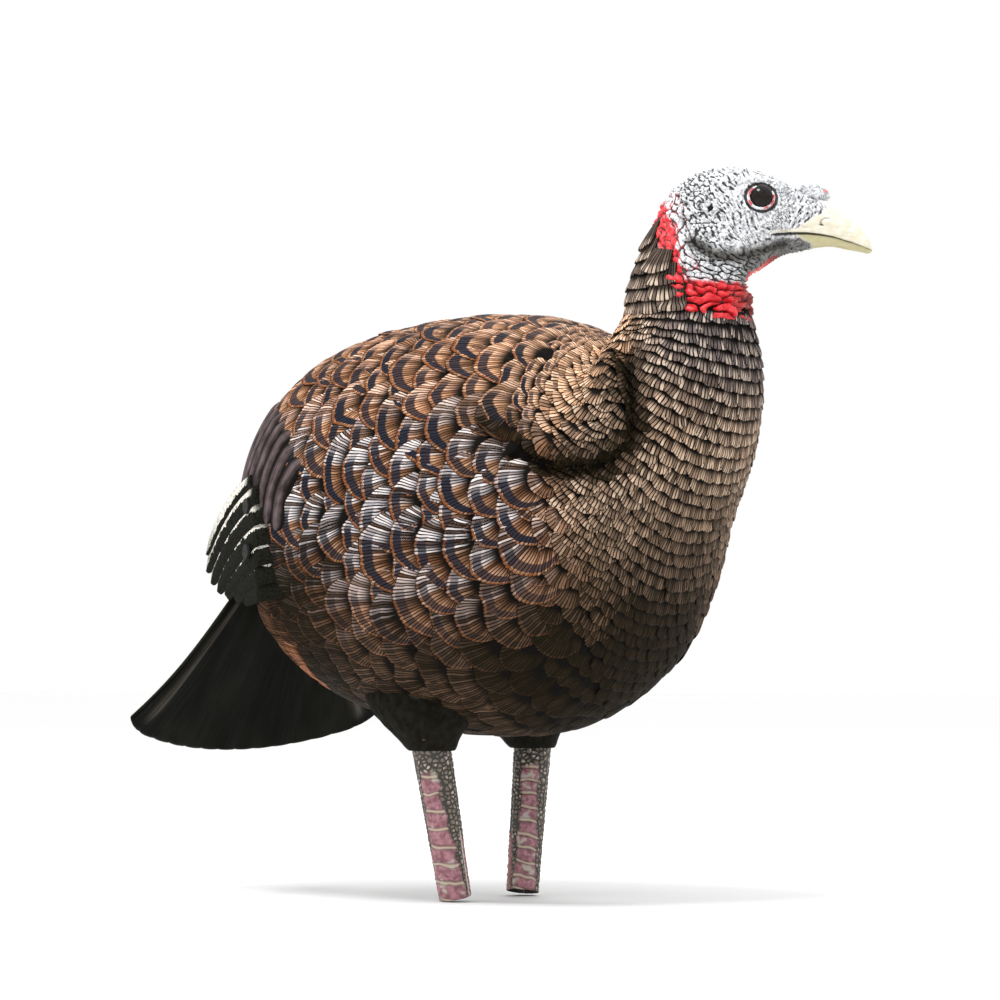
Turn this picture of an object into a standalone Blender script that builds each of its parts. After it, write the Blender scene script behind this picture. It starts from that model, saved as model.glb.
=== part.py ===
"""Hen turkey decoy: a hollow moulded body on two leg tubes, with a turning head and sliding stakes.

Frame: +X is the way the breast faces, +Y the bird's left, +Z up.  The origin is on the ground line,
midway between the leg tubes' lower ends.  Sizes are written in millimetres and scaled to metres.
"""
import math

import bmesh
import bpy
from mathutils import Matrix, Vector

MM = 0.001
GAP = 0.3                      # clearance between neighbouring pieces
CUT_EXTRA = 8.0                # how far a cutter runs past what it cuts
SIDES = (("left", 1.0), ("right", -1.0))

# Body: each station is back point (x, z), belly point (x, z) and half width.
BODY_STATIONS = (
    ((-150, 224), (-148, 196), 19),
    ((-148, 249), (-143, 168), 38),
    ((-137, 273), (-130, 143), 57),
    ((-113, 299), (-106, 121), 78),
    ((-74, 319), (-69, 105), 94),
    ((-22, 327), (-24, 95), 104),
    ((22, 328), (22, 92), 105),
    ((58, 323), (60, 98), 101),
    ((80, 314), (94, 119), 94),
    ((92, 307), (115, 152), 84),
    ((97, 306), (134, 196), 71),
    ((99, 310), (157, 244), 60),
    ((99, 317), (170, 285), 47),
    ((99.5, 324), (168.5, 324), 34.5),
)
BODY_SQUARENESS = 2.15         # superellipse power of every body section
BODY_RINGS = 27
BODY_SIDES = 26
BODY_WALL = 6.0
CAVITY_RINGS = 16
CAVITY_SIDES = 16

# Neck seat: the head turns about this upright axis.
NECK_X = 134.0
NECK_BORE_R = 27.0
BUSH_R, BUSH_BORE_R = 26.7, 20.0
BUSH_LOW, BUSH_HIGH = 303.0, 323.2
PLUG_R, PLUG_SPIGOT_R, PLUG_BORE_R = 19.7, 14.0, 3.4
PLUG_LOW, PLUG_SHOULDER, PLUG_HIGH = 302.4, 323.7, 352.0
HEAD_BORE_R, HEAD_BORE_TOP = 14.3, 366.0
WASHER_R, WASHER_LOW = 24.0, 299.6
BOLT_R, BOLT_HEAD_R, BOLT_HEAD_H = 3.0, 6.5, 5.0
BOLT_TOP = 361.0
NUT_R, NUT_H = 6.5, 5.5

# Head: sections along the head's own profile; x runs forward from the neck axis.
HEAD_YAW = math.radians(35.0)
HEAD_STATIONS = (
    ((-33.5, 324.5), (33.5, 324.5), 33.5),
    ((-32.5, 335), (32.0, 334), 32.0),
    ((-29.5, 347), (31.0, 341), 30.0),
    ((-25.0, 359), (34.0, 346), 27.0),
    ((-20.5, 371), (39.5, 349), 23.5),
    ((-15.5, 383), (45.0, 352.5), 20.5),
    ((-8.0, 394), (49.5, 355.5), 18.8),
    ((4.0, 402.5), (54.5, 357.5), 17.8),
    ((21.0, 406.5), (59.5, 358.5), 16.8),
    ((38.0, 404.5), (65.0, 359.0), 15.0),
    ((53.0, 397.5), (71.5, 359.5), 12.6),
    ((68.0, 388.5), (79.0, 359.0), 9.6),
    ((82.5, 377.5), (87.5, 358.0), 7.0),
    ((94.0, 368.0), (95.5, 356.5), 4.4),
    ((101.5, 361.0), (101.0, 355.0), 2.0),
)
HEAD_RINGS = 27
HEAD_SIDES = 20
EYE_X, EYE_Y, EYE_Z = 39.0, 10.8, 387.0
EYE_R = 8.2

# Legs: straight tapered tubes that lean inward and slightly forward to the ground.
LEG_FOOT = Vector((0.0, 33.0, 0.0))
LEG_TOP = Vector((-4.5, 50.0, 84.0))
SLEEVE_LEN, SLEEVE_THIGH = 92.0, 84.0
SLEEVE_FOOT_R, SLEEVE_TOP_R, SLEEVE_WALL = 9.2, 10.9, 1.2
SLEEVE_LIFT = 2.0              # the slanted lower rims just touch the ground line
THIGH_MOUTH_R, THIGH_WAIST_R, THIGH_ROOT_R = 12.3, 18.6, 30.0
THIGH_WAIST, THIGH_ROOT = 98.0, 126.0
THIGH_BORE_R, THIGH_SHELF = 11.3, 92.0
SOCKET_ROOM_R = 14.6
GASKET_H, GASKET_R = 2.0, 14.2
SPIGOT_R, SPIGOT_LOW = 8.6, 58.0
FLANGE_R, FLANGE_H = 14.2, 6.0
SOCKET_NECK_R, SOCKET_STEM_R = 10.0, 8.0
SOCKET_SHOULDER, SOCKET_HIGH = 134.0, 152.0
SOCKET_BORE_R = 4.3
COLLAR_R, COLLAR_H = 11.2, 6.0
NUT_SOCKET_R, NUT_SOCKET_H = 11.2, 5.0
STAKE_R, STAKE_TIP_R, STAKE_LOW, STAKE_LEN, STAKE_POINT = 4.0, 1.4, 1.0, 214.0, 8.0
CLIP_R, CLIP_H = 7.0, 2.0
BRIDGE_BAR = (18.0, 104.0, 3.4)
BRIDGE_RISE = 1.8              # bar above the collars' middles, clear of the tilted socket shoulders

# Tail: a fan about an apex inside the rump, in a plane that drops steeply backward.
TAIL_APEX = Vector((-118.0, 0.0, 236.0))
TAIL_PITCH = math.radians(66.0)
TAIL_SPREAD = math.radians(39.0)
TAIL_ROOT_R, TAIL_TIP_R = 73.0, 169.0
TAIL_CORNER = 1.12             # the tip's corners lie this much further out than its middle
TAIL_CUP = 8.0                 # how far the fan's sides curl forward
TAIL_THICK = 4.0
TONGUE_WIDTH, TONGUE_LENGTH, TONGUE_THICK = 44.0, 48.0, 4.0
TONGUE_TURN = math.radians(20.0)
POCKET_SIZE = (26.0, 54.0, 12.0)
POCKET_X = -33.0
SCREW_R, SCREW_HEAD_R, SCREW_HEAD_H, SCREW_LEN = 2.0, 3.8, 2.2, 16.0
SCREW_DRIVE_R = 0.6            # narrow hole down the middle of the screws and rivets
SCREW_Y = 13.0

# Wing tips: flat flaps in upright planes that close toward the rump.
WING_LINE_X, WING_LINE_Y = -104.0, 86.0
WING_TURN = math.radians(31.8)
WING_THICK = 3.0
WING_OUTLINE = ((-4, 240), (12, 239), (38, 227), (64, 208), (76, 191), (71, 177), (48, 172), (14, 174),
                (-4, 190), (-8, 216))
RIVET_R, RIVET_HEAD_R, RIVET_HEAD_H, RIVET_LEN = 2.2, 4.5, 1.6, 16.0
RIVET_SPOTS = ((3.0, 222.0), (3.0, 196.0))

VENT_X, VENT_R, VENT_LOW, VENT_H = 24.0, 6.7, 92.5, 5.5

COLOURS = {
    "feather_brown": ((0.17, 0.11, 0.07), 0.55, 0.0),
    "skin_grey": ((0.55, 0.56, 0.57), 0.5, 0.0),
    "eye_black": ((0.01, 0.008, 0.008), 0.06, 0.0),
    "tail_black": ((0.018, 0.02, 0.018), 0.4, 0.0),
    "wing_barred": ((0.35, 0.33, 0.3), 0.5, 0.0),
    "leg_print": ((0.32, 0.14, 0.15), 0.45, 0.0),
    "nylon": ((0.6, 0.6, 0.57), 0.45, 0.0),
    "rubber": ((0.03, 0.03, 0.03), 0.8, 0.0),
    "steel": ((0.55, 0.56, 0.58), 0.3, 1.0),
}


def clear_scene():
    for obj in list(bpy.data.objects):
        bpy.data.objects.remove(obj, do_unlink=True)


def new_collection(name):
    collection = bpy.data.collections.new(name)
    bpy.context.scene.collection.children.link(collection)
    return collection


def make_material(key):
    colour, roughness, metallic = COLOURS[key]
    material = bpy.data.materials.new(key)
    material.use_nodes = True
    shader = material.node_tree.nodes["Principled BSDF"]
    shader.inputs["Base Color"].default_value = (*colour, 1.0)
    shader.inputs["Roughness"].default_value = roughness
    shader.inputs["Metallic"].default_value = metallic
    return material


def add_object(name, bm, collection, colour=None):
    """Turn a bmesh in millimetres into a named object in metres."""
    bmesh.ops.recalc_face_normals(bm, faces=bm.faces)
    bmesh.ops.scale(bm, vec=(MM, MM, MM), verts=bm.verts)
    mesh = bpy.data.meshes.new(name)
    bm.to_mesh(mesh)
    bm.free()
    mesh.shade_smooth()
    mesh.set_sharp_from_angle(angle=math.radians(35))
    obj = bpy.data.objects.new(name, mesh)
    collection.objects.link(obj)
    if colour:
        material = make_material(colour)
        material.name = name + "_" + colour
        mesh.materials.append(material)
    return obj


def set_cutter(obj):
    obj.hide_render = True
    obj.display_type = "WIRE"


def cut(obj, cutter, operation="DIFFERENCE"):
    modifier = obj.modifiers.new(operation.lower(), "BOOLEAN")
    modifier.operation = operation
    modifier.object = cutter
    modifier.solver = "EXACT"


def spline_rows(rows, count):
    """Catmull-Rom through rows of equal-length number lists, sampled at count even steps."""
    result = []
    last = len(rows) - 1
    for step in range(count):
        place = step / (count - 1) * last
        index = min(int(place), last - 1)
        t = place - index
        p0, p1 = rows[max(index - 1, 0)], rows[index]
        p2, p3 = rows[index + 1], rows[min(index + 2, last)]
        result.append([
            0.5 * (2 * b + (c - a) * t + (2 * a - 5 * b + 4 * c - d) * t * t
                   + (3 * b - a - 3 * c + d) * t ** 3)
            for a, b, c, d in zip(p0, p1, p2, p3)])
    return result


def stations_to_rows(stations, inset=0.0):
    """Flatten stations; inset moves back, belly and sides inward by a wall."""
    rows = []
    for back, belly, width in stations:
        up = (Vector(back) - Vector(belly)).normalized() * inset
        rows.append([back[0] - up.x, back[1] - up.y, belly[0] + up.x, belly[1] + up.y, width - inset])
    return rows


def section_ring(row, sides, power):
    """One closed section, in the plane of its back-to-belly line and Y."""
    back, belly, width = Vector((row[0], 0, row[1])), Vector((row[2], 0, row[3])), row[4]
    centre, half = (back + belly) / 2, (back - belly) / 2
    ring = []
    for step in range(sides):
        angle = math.tau * step / sides
        across, along = math.sin(angle), math.cos(angle)
        size = (abs(across) ** power + abs(along) ** power) ** (-1 / power)
        ring.append(centre + half * (along * size) + Vector((0, width * across * size, 0)))
    return ring


def circle(radius, height, sides):
    return [Vector((radius * math.cos(math.tau * k / sides), radius * math.sin(math.tau * k / sides), height))
            for k in range(sides)]


def loft(rings):
    """Closed solid through rings of equal count, with flat fans at both ends."""
    bm = bmesh.new()
    rows = [[bm.verts.new(point) for point in ring] for ring in rings]
    count = len(rings[0])
    for low, high in zip(rows, rows[1:]):
        for i in range(count):
            j = (i + 1) % count
            bm.faces.new((low[i], low[j], high[j], high[i]))
    bm.faces.new(rows[0])
    bm.faces.new(rows[-1])
    bmesh.ops.triangulate(bm, faces=[f for f in bm.faces if len(f.verts) > 4])
    return bm


def turned(profile, segments=24):
    """Closed turned solid from (radius, height) points; a bore where every radius is above 0."""
    bm = bmesh.new()
    rings = []
    for radius, height in profile:
        rings.append([bm.verts.new((radius * math.cos(math.tau * k / segments),
                                    radius * math.sin(math.tau * k / segments), height))
                      for k in range(segments)])
    pairs = list(zip(rings, rings[1:]))
    pairs.append((rings[-1], rings[0]))
    for low, high in pairs:
        for i in range(segments):
            j = (i + 1) % segments
            bm.faces.new((low[i], low[j], high[j], high[i]))
    return bm


def cylinder(radius, low, high, segments=24):
    bm = bmesh.new()
    bmesh.ops.create_cone(bm, cap_ends=True, segments=segments, radius1=radius, radius2=radius,
                          depth=high - low)
    bmesh.ops.translate(bm, verts=bm.verts, vec=(0, 0, (low + high) / 2))
    return bm


def box(size, centre):
    bm = bmesh.new()
    bmesh.ops.create_cube(bm, size=1.0)
    bmesh.ops.scale(bm, vec=size, verts=bm.verts)
    bmesh.ops.translate(bm, verts=bm.verts, vec=centre)
    return bm


def transformed(bm, matrix):
    bmesh.ops.transform(bm, matrix=matrix, verts=bm.verts)
    return bm


def leg_matrix(side):
    """Local frame of one leg: z runs up the leg from the middle of its lower rim."""
    foot = Vector((LEG_FOOT.x, side * LEG_FOOT.y, SLEEVE_LIFT))
    top = Vector((LEG_TOP.x, side * LEG_TOP.y, LEG_TOP.z + SLEEVE_LIFT))
    turn = Vector((0, 0, 1)).rotation_difference((top - foot).normalized())
    return Matrix.Translation(foot) @ turn.to_matrix().to_4x4()


def neck_matrix():
    return Matrix.Translation((NECK_X, 0, 0))


def head_matrix():
    return neck_matrix() @ Matrix.Rotation(HEAD_YAW, 4, "Z")


def tail_matrix():
    """Local frame of the tail: x runs down the fan's middle, y across it, z out of its top side."""
    return Matrix.Translation(TAIL_APEX) @ Matrix.Rotation(math.pi, 4, "Z") \
        @ Matrix.Rotation(TAIL_PITCH, 4, "Y")


def tongue_matrix():
    """The tongue leaves the fan's root at a flatter angle, forward into the rump."""
    root = tail_matrix() @ Vector((TAIL_ROOT_R + 4.0, 0, 0))
    pitch = TAIL_PITCH - TONGUE_TURN
    return Matrix.Translation(root) @ Matrix.Rotation(math.pi, 4, "Z") @ Matrix.Rotation(pitch, 4, "Y")


def build_body(parts, cutters):
    rows = spline_rows(stations_to_rows(BODY_STATIONS), BODY_RINGS)
    shell = add_object("body_shell", loft([section_ring(r, BODY_SIDES, BODY_SQUARENESS) for r in rows]),
                       parts, "feather_brown")
    for name, side in SIDES:
        profile = ((THIGH_MOUTH_R, SLEEVE_THIGH), (THIGH_WAIST_R, THIGH_WAIST), (THIGH_ROOT_R, THIGH_ROOT))
        thigh = loft([circle(radius, height, 20) for radius, height in profile])
        thigh_obj = add_object(name + "_thigh", transformed(thigh, leg_matrix(side)), cutters)
        set_cutter(thigh_obj)
        cut(shell, thigh_obj, "UNION")
    inner = spline_rows(stations_to_rows(BODY_STATIONS[1:-2], BODY_WALL), CAVITY_RINGS)
    cavity = add_object("cavity", loft([section_ring(r, CAVITY_SIDES, 2.0) for r in inner]), cutters)
    neck = add_object("neck_opening", transformed(cylinder(NECK_BORE_R, 282.0, 340.0, 28), neck_matrix()),
                      cutters)
    for obj in (cavity, neck):
        set_cutter(obj)
        cut(shell, obj)
    for name, side in SIDES:
        for label, radius, low, high in (("bore", THIGH_BORE_R, SLEEVE_THIGH - CUT_EXTRA, THIGH_SHELF + 1.0),
                                         ("room", SOCKET_ROOM_R, THIGH_SHELF, SOCKET_SHOULDER + COLLAR_H)):
            tool = transformed(cylinder(radius, low, high), leg_matrix(side))
            tool_obj = add_object(name + "_thigh_" + label, tool, cutters)
            set_cutter(tool_obj)
            cut(shell, tool_obj)
    vent = add_object("vent_hole", transformed(cylinder(VENT_R + GAP, 80.0, 110.0, 16),
                                               Matrix.Translation((VENT_X, 0, 0))), cutters)
    slot = box((60.0, TONGUE_WIDTH + 2 * GAP, TONGUE_THICK + 2 * GAP), (-10.0, 0, 0))
    slot_obj = add_object("tail_slot", transformed(slot, tongue_matrix()), cutters)
    for obj in (vent, slot_obj):
        set_cutter(obj)
        cut(shell, obj)
    for name, side in SIDES:
        for number, spot in enumerate(RIVET_SPOTS, 1):
            hole = transformed(cylinder(RIVET_R + GAP, -40.0, 20.0, 12), rivet_matrix(side, spot))
            hole_obj = add_object(f"{name}_rivet_hole_{number}", hole, cutters)
            set_cutter(hole_obj)
            cut(shell, hole_obj)


def build_neck_parts(parts):
    place = neck_matrix()
    bush = turned(((BUSH_BORE_R, BUSH_LOW), (BUSH_R, BUSH_LOW), (BUSH_R, BUSH_HIGH),
                   (BUSH_BORE_R, BUSH_HIGH)), 28)
    add_object("neck_bush", transformed(bush, place), parts, "nylon")
    plug = turned(((PLUG_BORE_R, PLUG_LOW), (PLUG_R, PLUG_LOW), (PLUG_R, PLUG_SHOULDER),
                   (PLUG_SPIGOT_R, PLUG_SHOULDER), (PLUG_SPIGOT_R, PLUG_HIGH), (PLUG_BORE_R, PLUG_HIGH)), 28)
    add_object("head_plug", transformed(plug, place), parts, "nylon")
    washer_top = PLUG_LOW - GAP
    washer = turned(((PLUG_BORE_R, WASHER_LOW), (WASHER_R, WASHER_LOW),
                     (WASHER_R, washer_top), (PLUG_BORE_R, washer_top)), 24)
    add_object("friction_washer", transformed(washer, place), parts, "rubber")
    head_top = WASHER_LOW - GAP
    bolt = bmesh.new()
    bmesh.ops.create_cone(bolt, cap_ends=True, segments=6, radius1=BOLT_HEAD_R, radius2=BOLT_HEAD_R,
                          depth=BOLT_HEAD_H)
    bmesh.ops.translate(bolt, verts=bolt.verts, vec=(0, 0, head_top - BOLT_HEAD_H / 2))
    bolt_obj = add_object("head_bolt", transformed(bolt, place), parts, "steel")
    return bolt_obj


def build_bolt_and_nut(parts, cutters):
    bolt = build_neck_parts(parts)
    shank = add_object("bolt_shank", transformed(cylinder(BOLT_R, WASHER_LOW - GAP - 2.0, BOLT_TOP, 12),
                                                 neck_matrix()), cutters)
    set_cutter(shank)
    cut(bolt, shank, "UNION")
    nut_low = PLUG_HIGH + GAP
    nut_bore = PLUG_BORE_R / math.cos(math.pi / 6)
    nut = turned(((nut_bore, nut_low), (NUT_R, nut_low), (NUT_R, nut_low + NUT_H),
                  (nut_bore, nut_low + NUT_H)), 6)
    add_object("head_nut", transformed(nut, neck_matrix()), parts, "steel")


def build_head(parts, cutters):
    rows = spline_rows(stations_to_rows(HEAD_STATIONS), HEAD_RINGS)
    head = loft([section_ring(r, HEAD_SIDES, 2.1) for r in rows])
    head_obj = add_object("head_shell", transformed(head, head_matrix()), parts, "skin_grey")
    bore = add_object("head_bore", transformed(cylinder(HEAD_BORE_R, 300.0, HEAD_BORE_TOP), neck_matrix()),
                      cutters)
    set_cutter(bore)
    cut(head_obj, bore)
    for name, side in SIDES:
        place = head_matrix() @ Matrix.Translation((EYE_X, side * EYE_Y, EYE_Z))
        for label, radius, group in (("eye_socket", EYE_R + GAP, cutters), ("eye", EYE_R, parts)):
            ball = bmesh.new()
            bmesh.ops.create_uvsphere(ball, u_segments=14, v_segments=9, radius=radius)
            transformed(ball, place @ Matrix.Rotation(math.pi / 2, 4, "X"))
            if group is cutters:
                socket = add_object(name + "_" + label, ball, cutters)
                set_cutter(socket)
                cut(head_obj, socket)
            else:
                add_object(name + "_" + label, ball, parts, "eye_black")


def tube_profile(outer_low, outer_high, low, high, wall):
    return ((outer_low - wall, low), (outer_low, low), (outer_high, high), (outer_high - wall, high))


def build_leg(name, side, parts):
    place = leg_matrix(side)
    sleeve = turned(tube_profile(SLEEVE_FOOT_R, SLEEVE_TOP_R, 0.0, SLEEVE_LEN - GAP, SLEEVE_WALL), 24)
    gasket_low = THIGH_SHELF + GAP
    gasket = turned(((SPIGOT_R + GAP, gasket_low), (GASKET_R, gasket_low), (GASKET_R, gasket_low + GASKET_H),
                     (SPIGOT_R + GAP, gasket_low + GASKET_H)), 24)
    flange_low = gasket_low + GASKET_H + GAP
    socket = turned(((SOCKET_BORE_R, SPIGOT_LOW), (SPIGOT_R, SPIGOT_LOW), (SPIGOT_R, flange_low),
                     (FLANGE_R, flange_low), (FLANGE_R, flange_low + FLANGE_H),
                     (SOCKET_NECK_R, flange_low + FLANGE_H), (SOCKET_NECK_R, SOCKET_SHOULDER),
                     (SOCKET_STEM_R, SOCKET_SHOULDER), (SOCKET_STEM_R, SOCKET_HIGH),
                     (SOCKET_BORE_R, SOCKET_HIGH)), 20)
    stake = loft([circle(r, z, 16) for r, z in ((STAKE_TIP_R, STAKE_LOW), (STAKE_R, STAKE_LOW + STAKE_POINT),
                                                (STAKE_R, STAKE_LOW + STAKE_LEN))])
    clip_low = SOCKET_HIGH + GAP
    clip = turned(((SOCKET_BORE_R, clip_low), (CLIP_R, clip_low), (CLIP_R, clip_low + CLIP_H),
                   (SOCKET_BORE_R, clip_low + CLIP_H)), 20)
    nut_low = SOCKET_SHOULDER + GAP + COLLAR_H + GAP
    nut_high = nut_low + NUT_SOCKET_H
    nut = turned(((SOCKET_STEM_R + GAP, nut_low), (NUT_SOCKET_R, nut_low), (NUT_SOCKET_R, nut_high),
                  (SOCKET_STEM_R + GAP, nut_high)), 12)
    for label, bm, colour in (("leg_sleeve", sleeve, "leg_print"), ("thigh_gasket", gasket, "rubber"),
                              ("leg_socket", socket, "nylon"), ("stake", stake, "steel"),
                              ("stake_clip", clip, "steel"), ("socket_nut", nut, "nylon")):
        add_object(name + "_" + label, transformed(bm, place), parts, colour)


def build_bridge(parts, cutters):
    collar_low = SOCKET_SHOULDER + GAP
    middle = leg_matrix(1.0) @ Vector((0, 0, collar_low + COLLAR_H / 2))
    bridge = add_object("leg_bridge", box(BRIDGE_BAR, (middle.x, 0, middle.z + BRIDGE_RISE)), parts, "nylon")
    for name, side in SIDES:
        collar = transformed(cylinder(COLLAR_R, collar_low, collar_low + COLLAR_H), leg_matrix(side))
        bore = transformed(cylinder(SOCKET_STEM_R + GAP, collar_low - CUT_EXTRA,
                                    collar_low + COLLAR_H + CUT_EXTRA), leg_matrix(side))
        for label, bm, operation in (("collar", collar, "UNION"), ("collar_bore", bore, "DIFFERENCE")):
            tool = add_object(name + "_" + label, bm, cutters)
            set_cutter(tool)
            cut(bridge, tool, operation)


def tail_point(spread, along):
    """A point of the fan; spread is -1 to 1 across it and along is 0 at the root, 1 at the tip."""
    angle = spread * TAIL_SPREAD
    corner = max(abs(spread) - 0.8, 0.0) / 0.2
    reach = TAIL_TIP_R * (1 + (TAIL_CORNER - 1) * spread ** 2 - 0.03 * corner ** 2)
    radius = TAIL_ROOT_R + along * (reach - TAIL_ROOT_R)
    return Vector((radius * math.cos(angle), radius * math.sin(angle), -TAIL_CUP * spread ** 2 * along))


def build_tail(parts, cutters):
    across, down = 16, 6
    bm = bmesh.new()
    grid = [[bm.verts.new(tail_matrix() @ tail_point(2 * i / across - 1, j / down))
             for i in range(across + 1)] for j in range(down + 1)]
    for low, high in zip(grid, grid[1:]):
        for i in range(across):
            bm.faces.new((low[i], low[i + 1], high[i + 1], high[i]))
    tail = add_object("tail_fan", bm, parts, "tail_black")
    solid = tail.modifiers.new("thickness", "SOLIDIFY")
    solid.thickness = TAIL_THICK * MM
    solid.offset = 0.0
    tongue = box((TONGUE_LENGTH + 6.0, TONGUE_WIDTH, TONGUE_THICK), (3.0 - TONGUE_LENGTH / 2, 0, 0))
    tongue_obj = add_object("tongue", transformed(tongue, tongue_matrix()), cutters)
    set_cutter(tongue_obj)
    cut(tail, tongue_obj, "UNION")
    pocket = add_object("tail_socket", transformed(box(POCKET_SIZE, (POCKET_X, 0, 0)), tongue_matrix()),
                        parts, "nylon")
    room = box((60.0, TONGUE_WIDTH + 2 * GAP, TONGUE_THICK + 2 * GAP), (POCKET_X, 0, 0))
    room_obj = add_object("tongue_room", transformed(room, tongue_matrix()), cutters)
    set_cutter(room_obj)
    cut(pocket, room_obj)
    top = POCKET_SIZE[2] / 2 + GAP
    for number, across_y in enumerate((-SCREW_Y, SCREW_Y), 1):
        place = tongue_matrix() @ Matrix.Translation((POCKET_X, across_y, 0))
        drill = cylinder(SCREW_R + GAP, -SCREW_LEN, SCREW_LEN, 12)
        hole = add_object(f"tail_screw_hole_{number}", transformed(drill, place), cutters)
        set_cutter(hole)
        cut(tail, hole)
        cut(pocket, hole)
        screw = turned(((SCREW_DRIVE_R, top - SCREW_LEN), (SCREW_R, top - SCREW_LEN), (SCREW_R, top),
                        (SCREW_HEAD_R, top), (SCREW_HEAD_R, top + SCREW_HEAD_H),
                        (SCREW_DRIVE_R, top + SCREW_HEAD_H)), 12)
        add_object(f"tail_screw_{number}", transformed(screw, place), parts, "steel")


def wing_matrix(side):
    """Local frame of a wing tip: x runs backward along the flap, y up, z out of its outer face."""
    back = Vector((-math.cos(WING_TURN), -side * math.sin(WING_TURN), 0))
    up = Vector((0, 0, 1))
    out = Vector((-math.sin(WING_TURN), side * math.cos(WING_TURN), 0))
    turn = Matrix((back, up, out)).transposed().to_4x4()
    return Matrix.Translation((WING_LINE_X, side * WING_LINE_Y, 0)) @ turn


def rivet_matrix(side, spot):
    return wing_matrix(side) @ Matrix.Translation((spot[0], spot[1], 0))


def build_wing_tip(name, side, parts, cutters):
    outline = spline_rows(list(WING_OUTLINE) + [WING_OUTLINE[0]], 41)[:-1]
    bm = bmesh.new()
    for height in (-WING_THICK / 2, WING_THICK / 2):
        bm.faces.new([bm.verts.new((x, y, height)) for x, y in outline])
    bm.verts.ensure_lookup_table()
    count = len(outline)
    for i in range(count):
        j = (i + 1) % count
        bm.faces.new((bm.verts[i], bm.verts[j], bm.verts[count + j], bm.verts[count + i]))
    flap = add_object(name + "_wing_tip", transformed(bm, wing_matrix(side)), parts, "wing_barred")
    head_low = WING_THICK / 2 + GAP
    for number, spot in enumerate(RIVET_SPOTS, 1):
        place = rivet_matrix(side, spot)
        hole = transformed(cylinder(RIVET_R + GAP, -20.0, 20.0, 12), place)
        hole_obj = add_object(f"{name}_flap_hole_{number}", hole, cutters)
        set_cutter(hole_obj)
        cut(flap, hole_obj)
        rivet = turned(((SCREW_DRIVE_R, head_low - RIVET_LEN), (RIVET_R, head_low - RIVET_LEN),
                        (RIVET_R, head_low), (RIVET_HEAD_R, head_low), (RIVET_HEAD_R, head_low + RIVET_HEAD_H),
                        (SCREW_DRIVE_R, head_low + RIVET_HEAD_H)), 12)
        add_object(f"{name}_wing_rivet_{number}", transformed(rivet, place), parts, "nylon")


def build_vent_plug(parts):
    plug = cylinder(VENT_R, VENT_LOW, VENT_LOW + VENT_H, 16)
    add_object("vent_plug", transformed(plug, Matrix.Translation((VENT_X, 0, 0))), parts, "rubber")


def build():
    clear_scene()
    parts = new_collection("turkey_decoy")
    cutters = new_collection("cutters")
    build_body(parts, cutters)
    build_bolt_and_nut(parts, cutters)
    build_head(parts, cutters)
    for name, side in SIDES:
        build_leg(name, side, parts)
        build_wing_tip(name, side, parts, cutters)
    build_bridge(parts, cutters)
    build_tail(parts, cutters)
    build_vent_plug(parts)


build()
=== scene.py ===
"""Looks of the hen turkey decoy: sculpted feather rows, bare head, wattle, tail, wing tips and leg tubes.

Lengths are in millimetres until a mesh is made; the frame itself is in metres.  The body sections repeat
the CAD part's own, so every feather lies on the CAD surface.  The head sections do too, except that the
last six, for the face and beak, are cut a little finer.
"""
import math

import bpy
import numpy as np
from mathutils import Matrix, Vector


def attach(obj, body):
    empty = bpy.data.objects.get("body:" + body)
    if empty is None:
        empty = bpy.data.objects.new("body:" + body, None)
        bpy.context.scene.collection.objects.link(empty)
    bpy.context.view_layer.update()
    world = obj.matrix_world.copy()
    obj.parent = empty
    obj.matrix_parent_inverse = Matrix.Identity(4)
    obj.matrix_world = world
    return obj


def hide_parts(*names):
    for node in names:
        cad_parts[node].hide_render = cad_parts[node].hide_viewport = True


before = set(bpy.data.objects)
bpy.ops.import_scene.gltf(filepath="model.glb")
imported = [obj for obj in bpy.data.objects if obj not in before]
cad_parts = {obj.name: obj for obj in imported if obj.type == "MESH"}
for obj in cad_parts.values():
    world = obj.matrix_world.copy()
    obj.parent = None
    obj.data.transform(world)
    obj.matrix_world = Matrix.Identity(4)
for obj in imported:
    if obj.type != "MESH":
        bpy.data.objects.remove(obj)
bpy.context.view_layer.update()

MM = 0.001
RNG = np.random.default_rng(20)
SIDES = (("left", 1.0), ("right", -1.0))

# Stations of the CAD body and head: back (x, z), belly (x, z), half width.
BODY_STATIONS = (
    (-150, 224, -148, 196, 19), (-148, 249, -143, 168, 38), (-137, 273, -130, 143, 57),
    (-113, 299, -106, 121, 78), (-74, 319, -69, 105, 94), (-22, 327, -24, 95, 104),
    (22, 328, 22, 92, 105), (58, 323, 60, 98, 101), (80, 314, 94, 119, 94),
    (92, 307, 115, 152, 84), (97, 306, 134, 196, 71), (99, 310, 157, 244, 60),
    (99, 317, 170, 285, 47), (99.5, 324, 168.5, 324, 34.5),
)
BODY_SQUARENESS = 2.15
HEAD_STATIONS = (
    (-33.5, 324.5, 33.5, 324.5, 33.5), (-32.5, 335, 32.0, 334, 32.0), (-29.5, 347, 31.0, 341, 30.0),
    (-25.0, 359, 34.0, 346, 27.0), (-20.5, 371, 39.5, 349, 23.5), (-15.5, 383, 45.0, 352.5, 20.5),
    (-8.0, 394, 49.5, 355.5, 18.8), (4.0, 402.5, 54.5, 357.5, 17.8), (21.0, 406.5, 59.5, 358.5, 16.8),
    (38.0, 404.5, 64.0, 359.5, 15.0), (53.0, 397.5, 70.5, 361.0, 12.4), (68.5, 388.5, 78.5, 361.5, 9.2),
    (83.0, 381.5, 87.5, 360.2, 6.6), (94.0, 372.6, 95.5, 358.8, 4.3), (101.6, 362.6, 101.0, 357.2, 2.2),
)
HEAD_SQUARENESS = 2.1
NECK_X = 134.0
HEAD_YAW = math.radians(35.0)
EYE = np.array((39.0, 10.8, 387.0))
EYE_R = 8.2


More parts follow.
